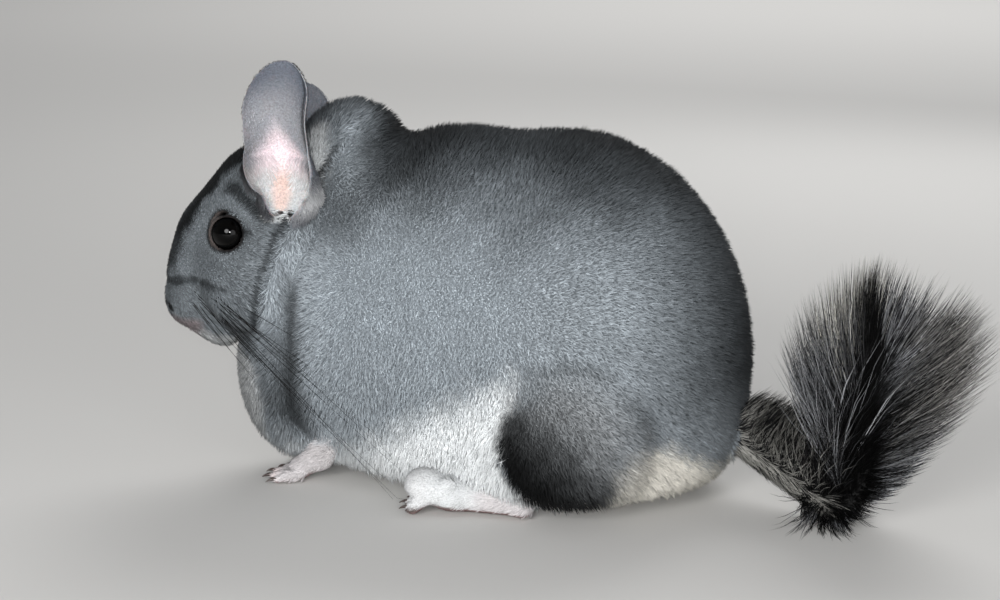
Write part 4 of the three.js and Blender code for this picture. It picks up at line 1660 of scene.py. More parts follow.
    def limb_roots(self, draw: np.random.Generator) -> Roots:
        """The roots over the feet and forelegs, with the same argument and result as the body's.

        Args:
            draw: The seeded draw.

        Returns:
            The roots.
        """
        flesh = self.skin.forms[Shell.LIMBS]
        points, normals = scatter(flesh, np.full(len(flesh.quads), self.limb_density), draw)
        keep = (self.skin.anatomy.trunk(points) > -1.5) & (points[:, 2] > 1.4) & (normals[:, 2] > -0.5)
        points, normals = points[keep], normals[keep]
        x, y, z = points.T
        count = len(points)
        comb = np.tile(vec(-1.0, 0.0, -0.35), (count, 1))
        comb += 0.15 * np.stack([Ripple(5.0, seed)(points) for seed in (41, 42, 43)], axis=1)
        toes = np.maximum(smoothstep(x, -70.0, -78.0), smoothstep(x, -4.0, -12.0) * smoothstep(x, -50.0, -40.0))
        length = mix(3.4, 1.7, toes) * mix(1.0, 1.5, smoothstep(z, 9.0, 15.0)) * draw.uniform(0.8, 1.15, count)
        unwrap = Unwrap(vec(-90, 0, 6), vec(40, 0, 6), (0.52, 0.62), (0.45, 0.18))
        return Roots(
            points,
            normals,
            self.lie_along(comb, normals),
            length,
            np.full(count, 0.40) * draw.uniform(0.8, 1.2, count),
            np.radians(28.0 + draw.normal(0, 6.0, count)),
            np.radians(8.0 + draw.normal(0, 5.0, count)),
            self.markings.limbs(points, normals),
            unwrap(points),
        )

    def grow(self, roots: Roots, name: str, slot: str, bench: Bench, speckle: float, draw: np.random.Generator) -> None:
        """Grows one piece of the coat.

        Args:
            roots: Where its hairs grow.
            name: The piece's name.
            slot: Not used.
            bench: The maker's axes.
            speckle: How much single hairs differ in tone.
            draw: The seeded draw.
        """
        count = len(roots)
        tones = np.exp(draw.normal(0.0, speckle, count))
        dark_tips = draw.random(count) < self.dark_share
        white = smoothstep(roots.colours[:, 1], 0.45, 0.66)
        tones = mix(tones, 1.0, 0.6 * white)
        dark = mix(draw.uniform(0.55, 0.85, count), draw.uniform(0.84, 0.96, count), white)
        tips = tones * np.where(dark_tips, dark, draw.uniform(0.95, 1.15, count))
        sway = draw.normal(0.0, 0.10, count)
        shape = HairShape()
        piece = shape.grow(roots, sway, tones, tips).mesh_object(name, bench)
        piece.data.materials.append(FUR_FINISH.material())
        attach(piece, BODY)
        LOG.info("%s: %d hairs, %d triangles", name, count, count * shape.triangles)

    def build(self, bench: Bench) -> None:
        """Grows the whole coat, in pieces by length and side.

        Args:
            bench: The maker's axes.
        """
        draw = np.random.default_rng(self.seed)
        body = self.body_roots(draw)
        head = self.skin.headness(body.points) > 0.5
        trunk = body.pick(~head)
        names = ["neck", "shoulder", "flank", "loin", "rump"]
        order = np.quantile(trunk.points[:, 0], np.linspace(0.0, 1.0, len(names) + 1))
        for i, part in enumerate(names):
            inside = (trunk.points[:, 0] >= order[i]) & (trunk.points[:, 0] < order[i + 1] + (i == len(names) - 1))
            for side in Side:
                chosen = inside & (trunk.points[:, 1] * side.value >= 0.0)
                slot = "coat_mantle" if part == "neck" else "coat_body"
                self.grow(trunk.pick(chosen), f"coat_{part}_{side.label}", slot, bench, self.speckle, draw)
        face = body.pick(head)
        limbs = self.limb_roots(draw)
        for side in Side:
            chosen = face.points[:, 1] * side.value >= 0.0
            self.grow(face.pick(chosen), f"coat_head_{side.label}", "coat_face", bench, self.head_speckle, draw)
            chosen = limbs.points[:, 1] * side.value >= 0.0
            self.grow(limbs.pick(chosen), f"coat_feet_{side.label}", "paw", bench, self.limb_speckle, draw)


# Tail


@dataclass
class TailHair:
    """The tail's long bristly hair, in a plume that fans out from its core.

    Attributes:
        anatomy: The animal's form.
        markings: Its colours.
        plume: The form that the hairs end at.
        plume_hairs: How many hairs the plume has.
        base_hairs: How many the base has.
        left_leans: How far the left hairs lean out, from root to tip.
        right_leans: The same on the right.
        silver: The pale hairs' colour.
        cream_tip: The warm tips of the pale hairs.
        brown_tip: The warm tips of the dark ones.
        dark: The dark hairs' colour.
        black: The stripe's colour.
        base_pale: The pale hairs of the base.
        base_dark: The dark hairs of the base.
        seed: The seed of the random numbers.
    """

    anatomy: Anatomy
    markings: Markings
    plume: Mass = Mass((143, -34, 53), (40, 29, 44))
    plume_hairs: int = 9800
    base_hairs: int = 6800
    left_leans: tuple[float, ...] = (52.0, 40.0, 22.0)
    right_leans: tuple[float, ...] = (76.0, 66.0, 32.0)
    silver: Colour = (0.29, 0.298, 0.312)
    cream_tip: Colour = (0.52, 0.505, 0.45)
    brown_tip: Colour = (0.24, 0.222, 0.19)
    dark: Colour = (0.018, 0.018, 0.020)
    black: Colour = (0.003, 0.003, 0.003)
    base_pale: Colour = (0.34, 0.335, 0.31)
    base_dark: Colour = (0.018, 0.018, 0.019)
    seed: int = 19

    def plume_field(self, points: Points) -> np.ndarray:
        """The plume's outer surface, cut away below along its lower edge."""
        edge = (points - vec(145, -34, 8)) @ vec(0.82, 0.0, -0.57)
        return soft_max(self.plume(points), edge, 8.0)

    def reach(self, roots: Points, ways: Points) -> np.ndarray:
        """How far each hair can run before it leaves the plume.

        Args:
            roots: The hairs' roots.
            ways: The hairs' directions.

        Returns:
            The lengths in millimetres.
        """
        near, far = np.zeros(len(roots)), np.full(len(roots), 90.0)
        for _ in range(18):
            middle = (near + far) / 2.0
            inside = self.plume_field(roots + ways * middle[:, None]) < 0.0
            near = np.where(inside, middle, near)
            far = np.where(inside, far, middle)
        return near

    def ring(self, share: np.ndarray, turn: np.ndarray, under: Points) -> tuple[Points, Points, Points]:
        """Places round the tail's core.

        Args:
            share: How far along the tail each hair is.
            turn: Its angle round the core, from the side that faces along under x tail.
            under: The way that the tail's underside faces.

        Returns:
            The middle of the core, the tail's direction and the radial direction.
        """
        place, along = self.anatomy.tail.at(share)
        across = unit(np.cross(under, along))
        back = unit(np.cross(across, along))
        radial = across * np.cos(turn)[:, None] + back * np.sin(turn)[:, None]
        return place, along, radial

    def roots(
        self, place: Points, radial: Points, core: np.ndarray, way: Points, length: np.ndarray, colours: Points
    ) -> Roots:
        """Packs the hairs of the tail as roots.

        Args:
            place: The roots' places.
            radial: The direction out of the core.
            core: The core's radius there.
            way: The hairs' directions.
            length: The hairs' lengths.
            colours: The hairs' colours.

        Returns:
            The roots.
        """
        count = len(place)
        points = place + radial * core[:, None]
        lie = unit(way)
        normals = unit(radial - np.sum(radial * lie, axis=1, keepdims=True) * lie)
        unwrap = Unwrap(vec(90, 0, 10), vec(150, -40, 60), (0.52, 0.82), (0.45, 0.17))
        width, flat = np.full(count, 0.42), np.zeros(count)
        return Roots(points, normals, lie, length, width, flat, flat, colours, unwrap(points))

    def build(self, bench: Bench) -> None:
        """Grows the plume and the hair of the tail's base.

        Args:
            bench: The maker's axes.
        """
        draw = np.random.default_rng(self.seed)
        self.build_plume(bench, draw)
        self.build_base(bench, draw)

    def build_plume(self, bench: Bench, draw: np.random.Generator) -> None:
        """Grows the long hair beyond the bend, like the barbs of a feather on either side of a black stripe.

        Args:
            bench: The maker's axes.
            draw: The seeded draw.
        """
        count = self.plume_hairs
        share = 0.42 + 0.57 * draw.random(count) ** 0.8
        turn = draw.uniform(0.0, 2.0 * math.pi, count)
        place, along, radial = self.ring(share, turn, vec(0.0, -1.0, 0.0))
        rise = np.clip((share - 0.42) / 0.57, 0.0, 1.0)
        right = radial[:, 0]
        facing = -radial[:, 1]
        left_lean = tone_at(rise, (0.0, 0.3, 1.0), self.left_leans)
        right_lean = tone_at(rise, (0.0, 0.4, 1.0), self.right_leans)
        lean = np.radians(mix(left_lean, right_lean, smoothstep(right, -0.7, 0.6)) * draw.normal(1.0, 0.13, count))
        up = blend(vec(0.05, 0.0, 1.0), along, smoothstep(rise, 0.0, 0.25))
        way = up * np.cos(lean)[:, None] + radial * np.sin(lean)[:, None]
        way = unit(unit(way) + draw.normal(0.0, 0.045, (count, 3)))
        core = mix(4.4, 1.8, rise)
        spread = self.reach(place + radial * core[:, None], way)
        spread = np.maximum(spread, 26.0 * smoothstep(right, 0.2, -0.4) * smoothstep(rise, 0.5, 0.1))
        length = spread * (0.66 + 0.42 * draw.random(count) ** 0.7)
        front = smoothstep(facing, 0.45, 0.85)
        length = mix(length, 10.0 * draw.uniform(0.7, 1.2, count), front)
        black = smoothstep(facing + draw.normal(0, 0.10, count), 0.35, 0.62) * smoothstep(rise, 0.95, 0.7)
        tuft_end = mix(0.10, 0.24, smoothstep(right, -0.4, 0.5))
        brush = smoothstep(rise + draw.normal(0, 0.025, count), tuft_end, tuft_end - 0.06)
        length = mix(length, mix(10.0, 15.5, smoothstep(right, -0.8, 0.2)) * draw.uniform(0.75, 1.1, count), brush)
        pale = draw.random(count) < mix(0.60, 0.62, smoothstep(right, -0.3, 0.5))
        light = np.where(pale[:, None], self.silver, self.dark)
        ends = place + radial * core[:, None] + way * length[:, None]
        warm = smoothstep(ends[:, 2] + 0.5 * (130.0 - ends[:, 0]), 82.0, 96.0) * smoothstep(right, 0.3, -0.3)
        light = blend(light, self.cream_tip, warm * pale)
        warm = smoothstep(ends[:, 0], 150.0, 168.0) * smoothstep(ends[:, 2], 30.0, 60.0) * pale
        light = blend(light, self.brown_tip, warm * 0.6)
        clump = 0.55 * Ripple(4.5, 61)(place + radial * 14.0) + 0.3 * Ripple(1.6, 62)(place + radial * 14.0)
        light = light * np.exp(clump + draw.normal(0, 0.25, count))[:, None]
        colours = blend(light, self.black, np.maximum(black, brush))
        third = place + radial * core[:, None] + way * (length * 0.35)[:, None]
        middle, _ = self.anatomy.tail.at(np.linspace(0.5, 1.0, 40))
        line = np.interp(third[:, 2], middle[:, 2], middle[:, 0] * 0.99 + middle[:, 1] * 0.14)
        across = np.abs(third[:, 0] * 0.99 + third[:, 1] * 0.14 - line + 3.0) + draw.normal(0, 0.8, count)
        stripe = smoothstep(across, mix(3.8, 7.0, smoothstep(rise, 0.3, 0.7)), 2.2) * smoothstep(facing, -0.3, 0.1)
        colours = blend(colours, self.black, stripe)
        down = unit(radial * vec(0.9, 0.9, 0.4) + vec(0.55, 0.0, -0.20))
        way = unit(blend(way, down, brush))
        grown = self.roots(place, radial, core, way, length, colours)
        grown.width = np.full(count, 0.32)
        grown.lift = np.full(count, math.radians(13.0))
        grown.fall = np.full(count, math.radians(-13.0))
        shape = HairShape(
            stations=(0.12, 0.30, 0.72),
            widths=(1.0, 0.95, 0.7),
            flatness=0.7,
            shades=(0.02, 0.09, 0.95, 0.8, 1.35),
            softness=0.4,
        )
        tones = np.ones(count)
        piece = shape.grow(grown, draw.normal(0, 0.07, count), tones, tones).mesh_object("tail_plume", bench)
        self.dress(piece)

    def build_base(self, bench: Bench, draw: np.random.Generator) -> None:
        """Grows the hair from the rump to the bend.

        Args:
            bench: The maker's axes.
            draw: The seeded draw.
        """
        count = self.base_hairs
        share = 0.06 + 0.46 * draw.random(count)
        turn = draw.uniform(0.0, 2.0 * math.pi, count)
        place, along, radial = self.ring(share, turn, vec(0.0, 0.0, -1.0))
        rise = (share - 0.06) / 0.46
        top = smoothstep(radial[:, 2], -0.05, 0.55)
        lean = np.radians(mix(14.0, mix(36.0, 66.0, rise), top)) * draw.normal(1.0, 0.12, count)
        way = along * np.cos(lean)[:, None] + radial * np.sin(lean)[:, None]
        way[:, 2] += 0.6 * top
        way = unit(unit(way) + draw.normal(0.0, 0.06, (count, 3)))
        core = np.full(count, 5.2)
        length = mix(9.0, mix(17.0, 37.0, rise**1.3), top) * draw.uniform(0.7, 1.1, count)
        dark = draw.random(count) < mix(0.18, 0.62, top)
        light = np.where(dark[:, None], self.base_dark, self.base_pale)
        black = smoothstep(rise + draw.normal(0, 0.04, count), 0.86, 0.97)
        colours = blend(light * np.exp(draw.normal(0, 0.22, count))[:, None], self.black, black)
        grown = self.roots(place, radial, core, way, length, colours)
        grown.lift = np.full(count, math.radians(10.0))
        grown.fall = np.full(count, math.radians(-12.0))
        shape = HairShape(
            stations=(0.2, 0.65), widths=(1.0, 0.75), flatness=0.7, shades=(0.4, 0.8, 0.9, 1.2), softness=0.5
        )
        tones = np.ones(count)
        piece = shape.grow(grown, draw.normal(0, 0.08, count), tones, tones).mesh_object("tail_base_hair", bench)
        self.dress(piece)

    def dress(self, piece: bpy.types.Object) -> None:
        """Gives a piece of the tail its finish and sets it on the body.

        Args:
            piece: The piece.
        """
        piece.data.materials.append(BRISTLE_FINISH.material())
        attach(piece, BODY)
        LOG.info("%s: %d triangles", piece.name, len(piece.data.polygons))


# Ears


@dataclass(frozen=True)
class EarPose:
    """Where an ear is rooted, where its tip is, and which way its cup faces.

    Attributes:
        root: The middle of its root.
        tip: Its tip.
        facing: The way its cup faces.
        bow: How far it bows.
    """

    root: tuple[float, float, float]
    tip: tuple[float, float, float]
    facing: tuple[float, float, float]
    bow: float


@dataclass(frozen=True)
class EarFur:
    """One kind of the ear's fur.

    Attributes:
        count: How many hairs it has.
        low: The share of the ear's height where it starts.
        high: The share where it ends.
        face: 1 for the hollow side, -1 for the outside.
        length: How long the hairs are.
        width: How thick they are.
        tone: Their brightness against the skin's.
        white: True for the white fur of the root.
    """

    count: int
    low: float
    high: float
    face: float
    length: float
    width: float
    tone: float
    white: bool = False


@dataclass
class Ear:
    """One thin, cupped ear, rolled into a wide funnel at its root.

    Attributes:
        side: Which side it is on.
        pose: How it is held.
        length: How far it stands out of the head's hair.
        thickness: How thick its wall is.
        widths: Half its width along the curve, at shares of its length.
        rolls: How far round it curls to either side, in radians, at the same shares.
        stations: The shares of its height where it is measured.
        seed: The seed of the random numbers.
        pink: The hollow's colour.
        peach: The warm fold in the hollow.
        grey: The hollow's upper part.
        top_grey: The top's colour.
        lobe: The pale lobe's colour.
        back_grey: The back's colour.
        back_white: The back's pale root.
        rim: The colour of the painted highlight along the rear edge.
        white: The root fur's colour.
    """

    side: Side
    pose: EarPose
    length: float = 59.5
    thickness: float = 1.1
    stations: tuple[float, ...] = (0.0, 0.08, 0.18, 0.30, 0.42, 0.55, 0.72, 1.0)
    widths: tuple[float, ...] = (15.0, 26.0, 30.5, 24.0, 17.3, 14.7, 13.6, 14.6)
    rolls: tuple[float, ...] = (2.6, 2.5, 2.3, 1.8, 1.35, 1.0, 0.8, 0.7)
    seed: int = 31
    pink: Colour = (0.78, 0.64, 0.675)
    peach: Colour = (0.60, 0.45, 0.41)
    grey: Colour = (0.25, 0.254, 0.272)
    top_grey: Colour = (0.115, 0.126, 0.152)
    lobe: Colour = (0.48, 0.485, 0.49)
    back_grey: Colour = (0.15, 0.158, 0.182)
    back_white: Colour = (0.36, 0.365, 0.375)
    rim: Colour = (0.40, 0.40, 0.42)
    white: Colour = (0.66, 0.665, 0.675)

    def half_width(self, t: np.ndarray) -> np.ndarray:
        """Half the ear's width along its curve, at shares of its length."""
        top = np.sqrt(np.maximum(0.0, 1.0 - np.maximum(0.0, (t - 0.60) / 0.40) ** 2.4))
        return np.maximum(np.interp(t, self.stations, self.widths) * top, 0.05)

    def radius(self, t: np.ndarray) -> np.ndarray:
        """The radius that the ear curls with, at shares of its length."""
        return self.half_width(t) / np.interp(t, self.stations, self.rolls)

    def axes(self) -> tuple[Points, Points, Points]:
        """The ear's own directions: up to its tip, across it, and out of its hollow.

        Returns:
            The three directions.
        """
        up = unit(np.array(self.pose.tip, float) - np.array(self.pose.root, float))
        across = unit(np.cross(up, np.array(self.pose.facing)))
        return up, across, unit(np.cross(across, up))

    def place(self, t: np.ndarray, share: np.ndarray, lift: np.ndarray) -> Points:
        """Points on the ear.

        Args:
            t: How far up the ear, from 0 to 1.
            share: How far across it, from -1 to 1.
            lift: How far towards the hollow side from the middle of its wall.

        Returns:
            The points.
        """
        up, across, out = self.axes()
        radius = self.radius(t)
        angle = share * np.interp(t, self.stations, self.rolls)
        arc = radius - lift
        points = np.array(self.pose.root, float) + up * (t * self.length)[:, None]
        points = points + across * (arc * np.sin(angle) + self.bow(t))[:, None]
        return points + out * ((radius - arc * np.cos(angle)) * self.flatness(t) - self.setback(t))[:, None]

    def bow(self, t: np.ndarray) -> np.ndarray:
        """How far the ear's middle line is bent sideways."""
        return self.pose.bow * bell(t, 0.62, 0.24)

    def setback(self, t: np.ndarray) -> np.ndarray:
        """How far the ear's back wall is behind its root line."""
        return 6.0 * smoothstep(t, 0.0, 0.12) * smoothstep(t, 1.2, 0.5)

    def flatness(self, t: np.ndarray) -> np.ndarray:
        """How deep the ear's curl is for its width."""
        return mix(0.5, 1.0, smoothstep(t, 0.05, 0.45))

    def hollow(self, points: Points) -> np.ndarray:
        """The ear's lower hollow and wall as a field.

        Args:
            points: The points.

        Returns:
            The signed distances.
        """
        up, across, out = self.axes()
        offset = points - np.array(self.pose.root, float)
        t = offset @ up / self.length
        inner = np.clip(t, 0.0, 0.6)
        radius = self.radius(inner)
        aside = offset @ across - self.bow(inner)
        ahead = (offset @ out + self.setback(inner)) / self.flatness(inner) - radius
        wall = np.hypot(aside, ahead) - radius - 0.4
        return np.maximum(wall, np.maximum((0.045 - t) * self.length, (t - 0.6) * self.length))

    def colour(self, t: np.ndarray, share: np.ndarray, inner: np.ndarray) -> Points:
        """The ear's colours: pink in the hollow, grey above and behind, with painted shade inside the rear rim.

        Args:
            t: The share of the ear's height.
            share: The share across, from -1 to 1.
            inner: How far each place is in the hollow.

        Returns:
            The colours.
        """
        pink = np.tile(self.pink, (len(t), 1))
        fold = share * -self.side.value
        aside = np.abs(fold + 0.18)
        hollow = blend(pink, self.grey, smoothstep(t + 0.40 * aside**1.2, 0.34, 0.62))
        hollow = blend(hollow, self.top_grey, smoothstep(t + 0.12 * share**2, 0.60, 0.96))
        peach = np.tile(self.peach, (len(t), 1))
        hollow = blend(peach, hollow, smoothstep(t, 0.14, 0.34))
        hollow = blend(hollow, self.lobe, smoothstep(aside, 0.06, 0.24) * smoothstep(t, 0.36, 0.14))
        low = smoothstep(t, 0.75, 0.3)
        # Painted shade of the curled rear wall, in a band inside the rim.
        rim_shade = bell(fold, mix(0.86, 0.76, low), mix(0.06, 0.20, low)) * smoothstep(t, 0.16, 0.34)
        hollow = hollow * mix(1.0, 0.32, rim_shade)[:, None]
        pale = smoothstep(t, 0.34, 0.22) * mix(0.2, 1.0, smoothstep(fold, -0.4, 0.2))
        pale *= mix(0.25, 1.0, smoothstep(t, 0.02, 0.16))
        behind = blend(np.tile(self.back_grey, (len(t), 1)), self.back_white, pale)
        return blend(behind, hollow, inner)

    def build(self, bench: Bench) -> None:
        """Makes the ear and its short fur.

        Args:
            bench: The maker's axes.
        """
        shape = bmesh.new()
        bmesh.ops.create_uvsphere(shape, u_segments=96, v_segments=72, radius=1.0)
        ball = np.array([v.co for v in shape.verts])
        shape.verts.index_update()
        quads = [[v.index for v in f.verts] for f in shape.faces]
        shape.free()
        height = (ball[:, 2] + 1.0) / 2.0
        t = height**0.85
        ring = np.sqrt(np.maximum(0.0, 1.0 - ball[:, 2] ** 2))
        share = np.where(ring < 1e-3, 0.0, ball[:, 0] / np.maximum(ring, 1e-3))
        face = np.where(ring < 1e-3, 0.0, ball[:, 1] / np.maximum(ring, 1e-3))
        folds = 0.18 * np.sin(share * 9.0 + 0.6) * smoothstep(t, 0.55, 0.2) * smoothstep(np.abs(share), 1.0, 0.7)
        wall = self.thickness / 2.0 * mix(1.8, 1.0, np.minimum(1.0, t * 2.5)) * np.minimum(1.0, ring * 2.0)
        rim = 0.25 * smoothstep(np.abs(share), 0.93, 0.99)
        lift = wall * face + np.where(face > 0.0, folds * face, 0.0) + rim
        points = self.place(t, share, lift)
        inner = smoothstep(face, -0.2, 0.2)
        colours = self.colour(t, share, inner)
        # Painted highlight: a pale line along the rear edge of the wall.
        edge = smoothstep(np.abs(face), 0.42, 0.2) * smoothstep(t, 0.28, 0.42)
        edge *= smoothstep(share * -self.side.value, -0.5, 0.3)
        colours = blend(colours, self.rim, edge)
        triangles = []
        for quad in quads:
            triangles += [(quad[0], quad[k], quad[k + 1]) for k in range(1, len(quad) - 1)]
        faces = np.array(triangles)
        a, b, c = (points[faces[:, k]] for k in range(3))
        if np.sum(np.cross(a, b) * c) < 0.0:
            faces = faces[:, ::-1]
        piece = Sheet(points, faces, colours).mesh_object(f"ear_skin_{self.side.label}", bench)
        piece.data.materials.append(EAR_FINISH.material())
        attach(piece, BODY)
        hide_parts(f"ear_{self.side.label}")
        self.build_fur(bench)

    def build_fur(self, bench: Bench) -> None:
        """Grows the ear's fine fur: dense behind, sparse in the hollow, and white and long at the root.

        Args:
            bench: The maker's axes.
        """
        draw = np.random.default_rng(self.seed + self.side.value)
        kinds = (
            EarFur(4200, 0.25, 0.985, -1.0, 0.8, 0.26, 0.95),
            EarFur(7600, 0.36, 0.985, 1.0, 1.1, 0.24, 0.97),
            EarFur(900, 0.26, 0.44, 1.0, 1.5, 0.20, 1.0),
            EarFur(3000, 0.0, 0.36, 1.0, 4.4, 0.38, 1.0, white=True),
            EarFur(2800, 0.0, 0.34, -1.0, 4.0, 0.40, 0.78, white=True),
            EarFur(1500, 0.0, 0.09, 1.0, 4.2, 0.40, 0.95, white=True),
        )
        grown = Sheet.joined([self.fur(kind, draw) for kind in kinds])
        piece = grown.mesh_object(f"ear_fur_{self.side.label}", bench)
        piece.data.materials.append(FUR_FINISH.material())
        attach(piece, BODY)

    def fur(self, kind: EarFur, draw: np.random.Generator) -> Sheet:
        """Grows one kind of the ear's fur.

        Args:
            kind: Where and how it grows.
            draw: The seeded draw.

        Returns:
            The hairs.
        """
        count = kind.count
        t = draw.uniform(kind.low, kind.high, count)
        share = draw.uniform(-1.0, 1.0, count)
        if kind.white:
            low = mix(0.0, 0.12, smoothstep(t, 0.05, 0.13)) if kind.face > 0 else 0.5
            high = 0.88 if kind.face > 0 else 1.0
            share = np.sign(share) * mix(low, high, np.abs(share) ** 0.8)
            share = share + (0.18 * self.side.value if kind.face > 0 else 0.0) * (1.0 - np.abs(share))
        lift = np.full(count, kind.face * self.thickness * 0.55)
        points = self.place(t, share, lift)
        ahead = unit(self.place(np.minimum(t + 0.01, 1.0), share, lift) - points)
        normals = unit(self.place(t, share, lift + kind.face * 0.1) - points)
        lie = ahead + 0.25 * draw.normal(size=(count, 3))
        if kind.white:
            inward = unit(self.place(t, share * 0.9, lift) - points)
            lie = -ahead + 0.5 * inward + 0.25 * draw.normal(size=(count, 3))
        lie = unit(lie - np.sum(lie * normals, axis=1, keepdims=True) * normals)
        colours = self.colour(t, share, np.full(count, 1.0 if kind.face > 0 else 0.0)) * kind.tone
        if kind.white:
            white = smoothstep(t + draw.normal(0.0, 0.04, count), 0.36, 0.16)
            if kind.face < 0:
                white *= mix(0.1, 0.7, smoothstep(share * -self.side.value, -0.4, 0.2)) * smoothstep(t, 0.0, 0.16)
            colours = blend(colours, np.array(self.white) * kind.tone, white)
        corner = (0.0 if self.side is Side.LEFT else 0.5, 0.0 if kind.face > 0 else 0.5)
        length = kind.length * draw.uniform(0.7, 1.15, count)
        lift = np.radians(draw.normal(22.0, 6.0, count))
        fall = np.radians(draw.normal(8.0, 5.0, count))
        places = np.array(corner) + np.stack([t, (share + 1.0) / 2.0], axis=1) * 0.49
        roots = Roots(points, normals, lie, length, np.full(count, kind.width), lift, fall, colours, places)
        tones = np.exp(draw.normal(0.0, 0.10 if kind.white else 0.30, count))
        shape = HairShape(shades=(0.8, 1.0, 1.05))
        return shape.grow(roots, draw.normal(0, 0.08, count), tones, tones)


# Eyes, whiskers and claws


@dataclass
class Eye:
    """A dark, wet eyeball in its lids.

    Attributes:
        side: Which side it is on.
        radius: Its radius.
    """

    side: Side
    radius: float = EYE_RADIUS

    def build(self, bench: Bench) -> None:
        """Makes the eyeball, with its clear front a little proud.

        Args:
            bench: The maker's axes.
        """
        shape = bmesh.new()
        bmesh.ops.create_icosphere(shape, subdivisions=5, radius=1.0)
        ball = np.array([v.co for v in shape.verts])
        faces = np.array([[v.index for v in f.verts] for f in shape.faces])
        shape.free()
        axis = unit(np.array(EYE_OUTWARD) * (1.0, self.side.value, 1.0))
        front = ball @ axis
        bulge = 1.0 + 0.035 * smoothstep(front, 0.72, 1.0)
        centre = np.array(EYE_CENTRE) * (1.0, self.side.value, 1.0)
        points = centre + ball * (self.radius * bulge)[:, None]
        iris = smoothstep(front, 0.70, 0.80) * (1.0 - smoothstep(front, 0.90, 0.94))
        colours = blend(np.tile(vec(0.0003, 0.0003, 0.0004), (len(ball), 1)), vec(0.0009, 0.0007, 0.0006), iris)
        piece = Sheet(points, faces, colours).mesh_object(f"eyeball_{self.side.label}", bench)
        piece.data.materials.append(EYE_FINISH.material())
        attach(piece, BODY)
        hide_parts(f"eye_{self.side.label}")


def strand(line: Points, radii: np.ndarray, sides: int, colour: Points) -> Sheet:
    """A tapered round strand along a line.

    Args:
        line: The points of its middle.
        radii: Its radius at each.
        sides: How many sides it has.
        colour: One linear colour, or one a point.

    Returns:
        The strand as a sheet of triangles.
    """
    ahead = unit(np.gradient(line, axis=0))
    side = unit(np.cross(ahead, vec(0.13, 0.27, 0.95)))
    over = np.cross(side, ahead)
    turns = 2.0 * math.pi * np.arange(sides) / sides
    rings = (
        line[:, None, :]
        + side[:, None, :] * (np.cos(turns)[None, :, None] * radii[:, None, None])
        + over[:, None, :] * (np.sin(turns)[None, :, None] * radii[:, None, None])
    )
    points = np.vstack([rings.reshape(-1, 3), line[:1], line[-1:]])
    steps = len(line)
    faces = []
    for k in range(steps - 1):
        for j in range(sides):
            a, b = k * sides + j, k * sides + (j + 1) % sides
            faces += [(a, b + sides, b), (a, a + sides, b + sides)]
    start, end = steps * sides, steps * sides + 1
    for j in range(sides):
        faces.append((start, j, (j + 1) % sides))
        faces.append((end, (steps - 1) * sides + (j + 1) % sides, (steps - 1) * sides + j))
    colours = np.tile(colour, (len(points), 1)) if np.ndim(colour) == 1 else None
    if colours is None:
        colours = np.vstack([np.repeat(colour, sides, axis=0), colour[:1], colour[-1:]])
    return Sheet(points, np.array(faces), colours)


@dataclass
class Whiskers:
    """The whiskers of both cheeks.

    Attributes:
        anatomy: The animal's form.
        rows: How many rows a cheek has.
        each: How many whiskers a row has.
        dark: The whiskers' colour at their roots.
        pale: The colour that they fade to at their tips.
        radius: How thick they are at the root.
        seed: The seed of the random numbers.
    """

    anatomy: Anatomy
    rows: int = 5
    each: int = 5
    dark: Colour = (0.008, 0.007, 0.007)
    pale: Colour = (0.03, 0.03, 0.03)
    radius: float = 0.145
    seed: int = 43

    def build(self, bench: Bench) -> None:
        """Makes all whiskers as one piece.

        Args:
            bench: The maker's axes.
        """
        draw = np.random.default_rng(self.seed)
        strands = []
        for side in Side:
            for row in range(self.rows):
                for i in range(self.each):
                    strands.append(self.whisker(side, row, i, draw))
        piece = Sheet.joined(strands).mesh_object("whiskers", bench)
        piece.data.materials.append(WHISKER_FINISH.material())
        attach(piece, BODY)

    def whisker(self, side: Side, row: int, i: int, draw: np.random.Generator) -> Sheet:
        """One whisker, from its root on the muzzle back and down along the cheek.

        Args:
            side: Which side it is on.
            row: Its row, from the top one.
            i: Its number in the row, from the front one.
            draw: The seeded draw.

        Returns:
            The whisker.
        """
        along = -114.0 + 2.9 * i + draw.normal(0, 0.35)
        root = vec(along, 0.0, 72.0 - 1.9 * row - 0.6 * i + draw.normal(0, 0.3))
        reach = np.linspace(0.0, 22.0, 221)
        inside = self.anatomy.head(root + np.outer(reach, vec(0, 1, 0))) + 1.0 < 0.0
        root[1] = reach[inside].max() if inside.any() else 6.0
        length = mix(38.0, 84.0, i / (self.each - 1)) * draw.uniform(0.7, 1.1)
        drop = mix(-0.25, -0.75, (row + 0.5 * draw.random()) / self.rows)
        out = vec(0.72, 0.42, drop + draw.normal(0, 0.10))
        bend = vec(0.62, -0.12, -0.62) + draw.normal(0, 0.07, 3)
        t = np.linspace(0.0, 1.0, 14)[:, None]
        line = root + (unit(out) * t * 0.8 + unit(bend) * t**2 * 0.42) * length
        line[:, 1] *= side.value
        line[:, 2] = np.maximum(line[:, 2], 1.0)
        radii = self.radius * (1.0 - 0.8 * t[:, 0])
        return strand(line, radii, 5, blend(np.array(self.dark), np.array(self.pale), t[:, 0] ** 3))


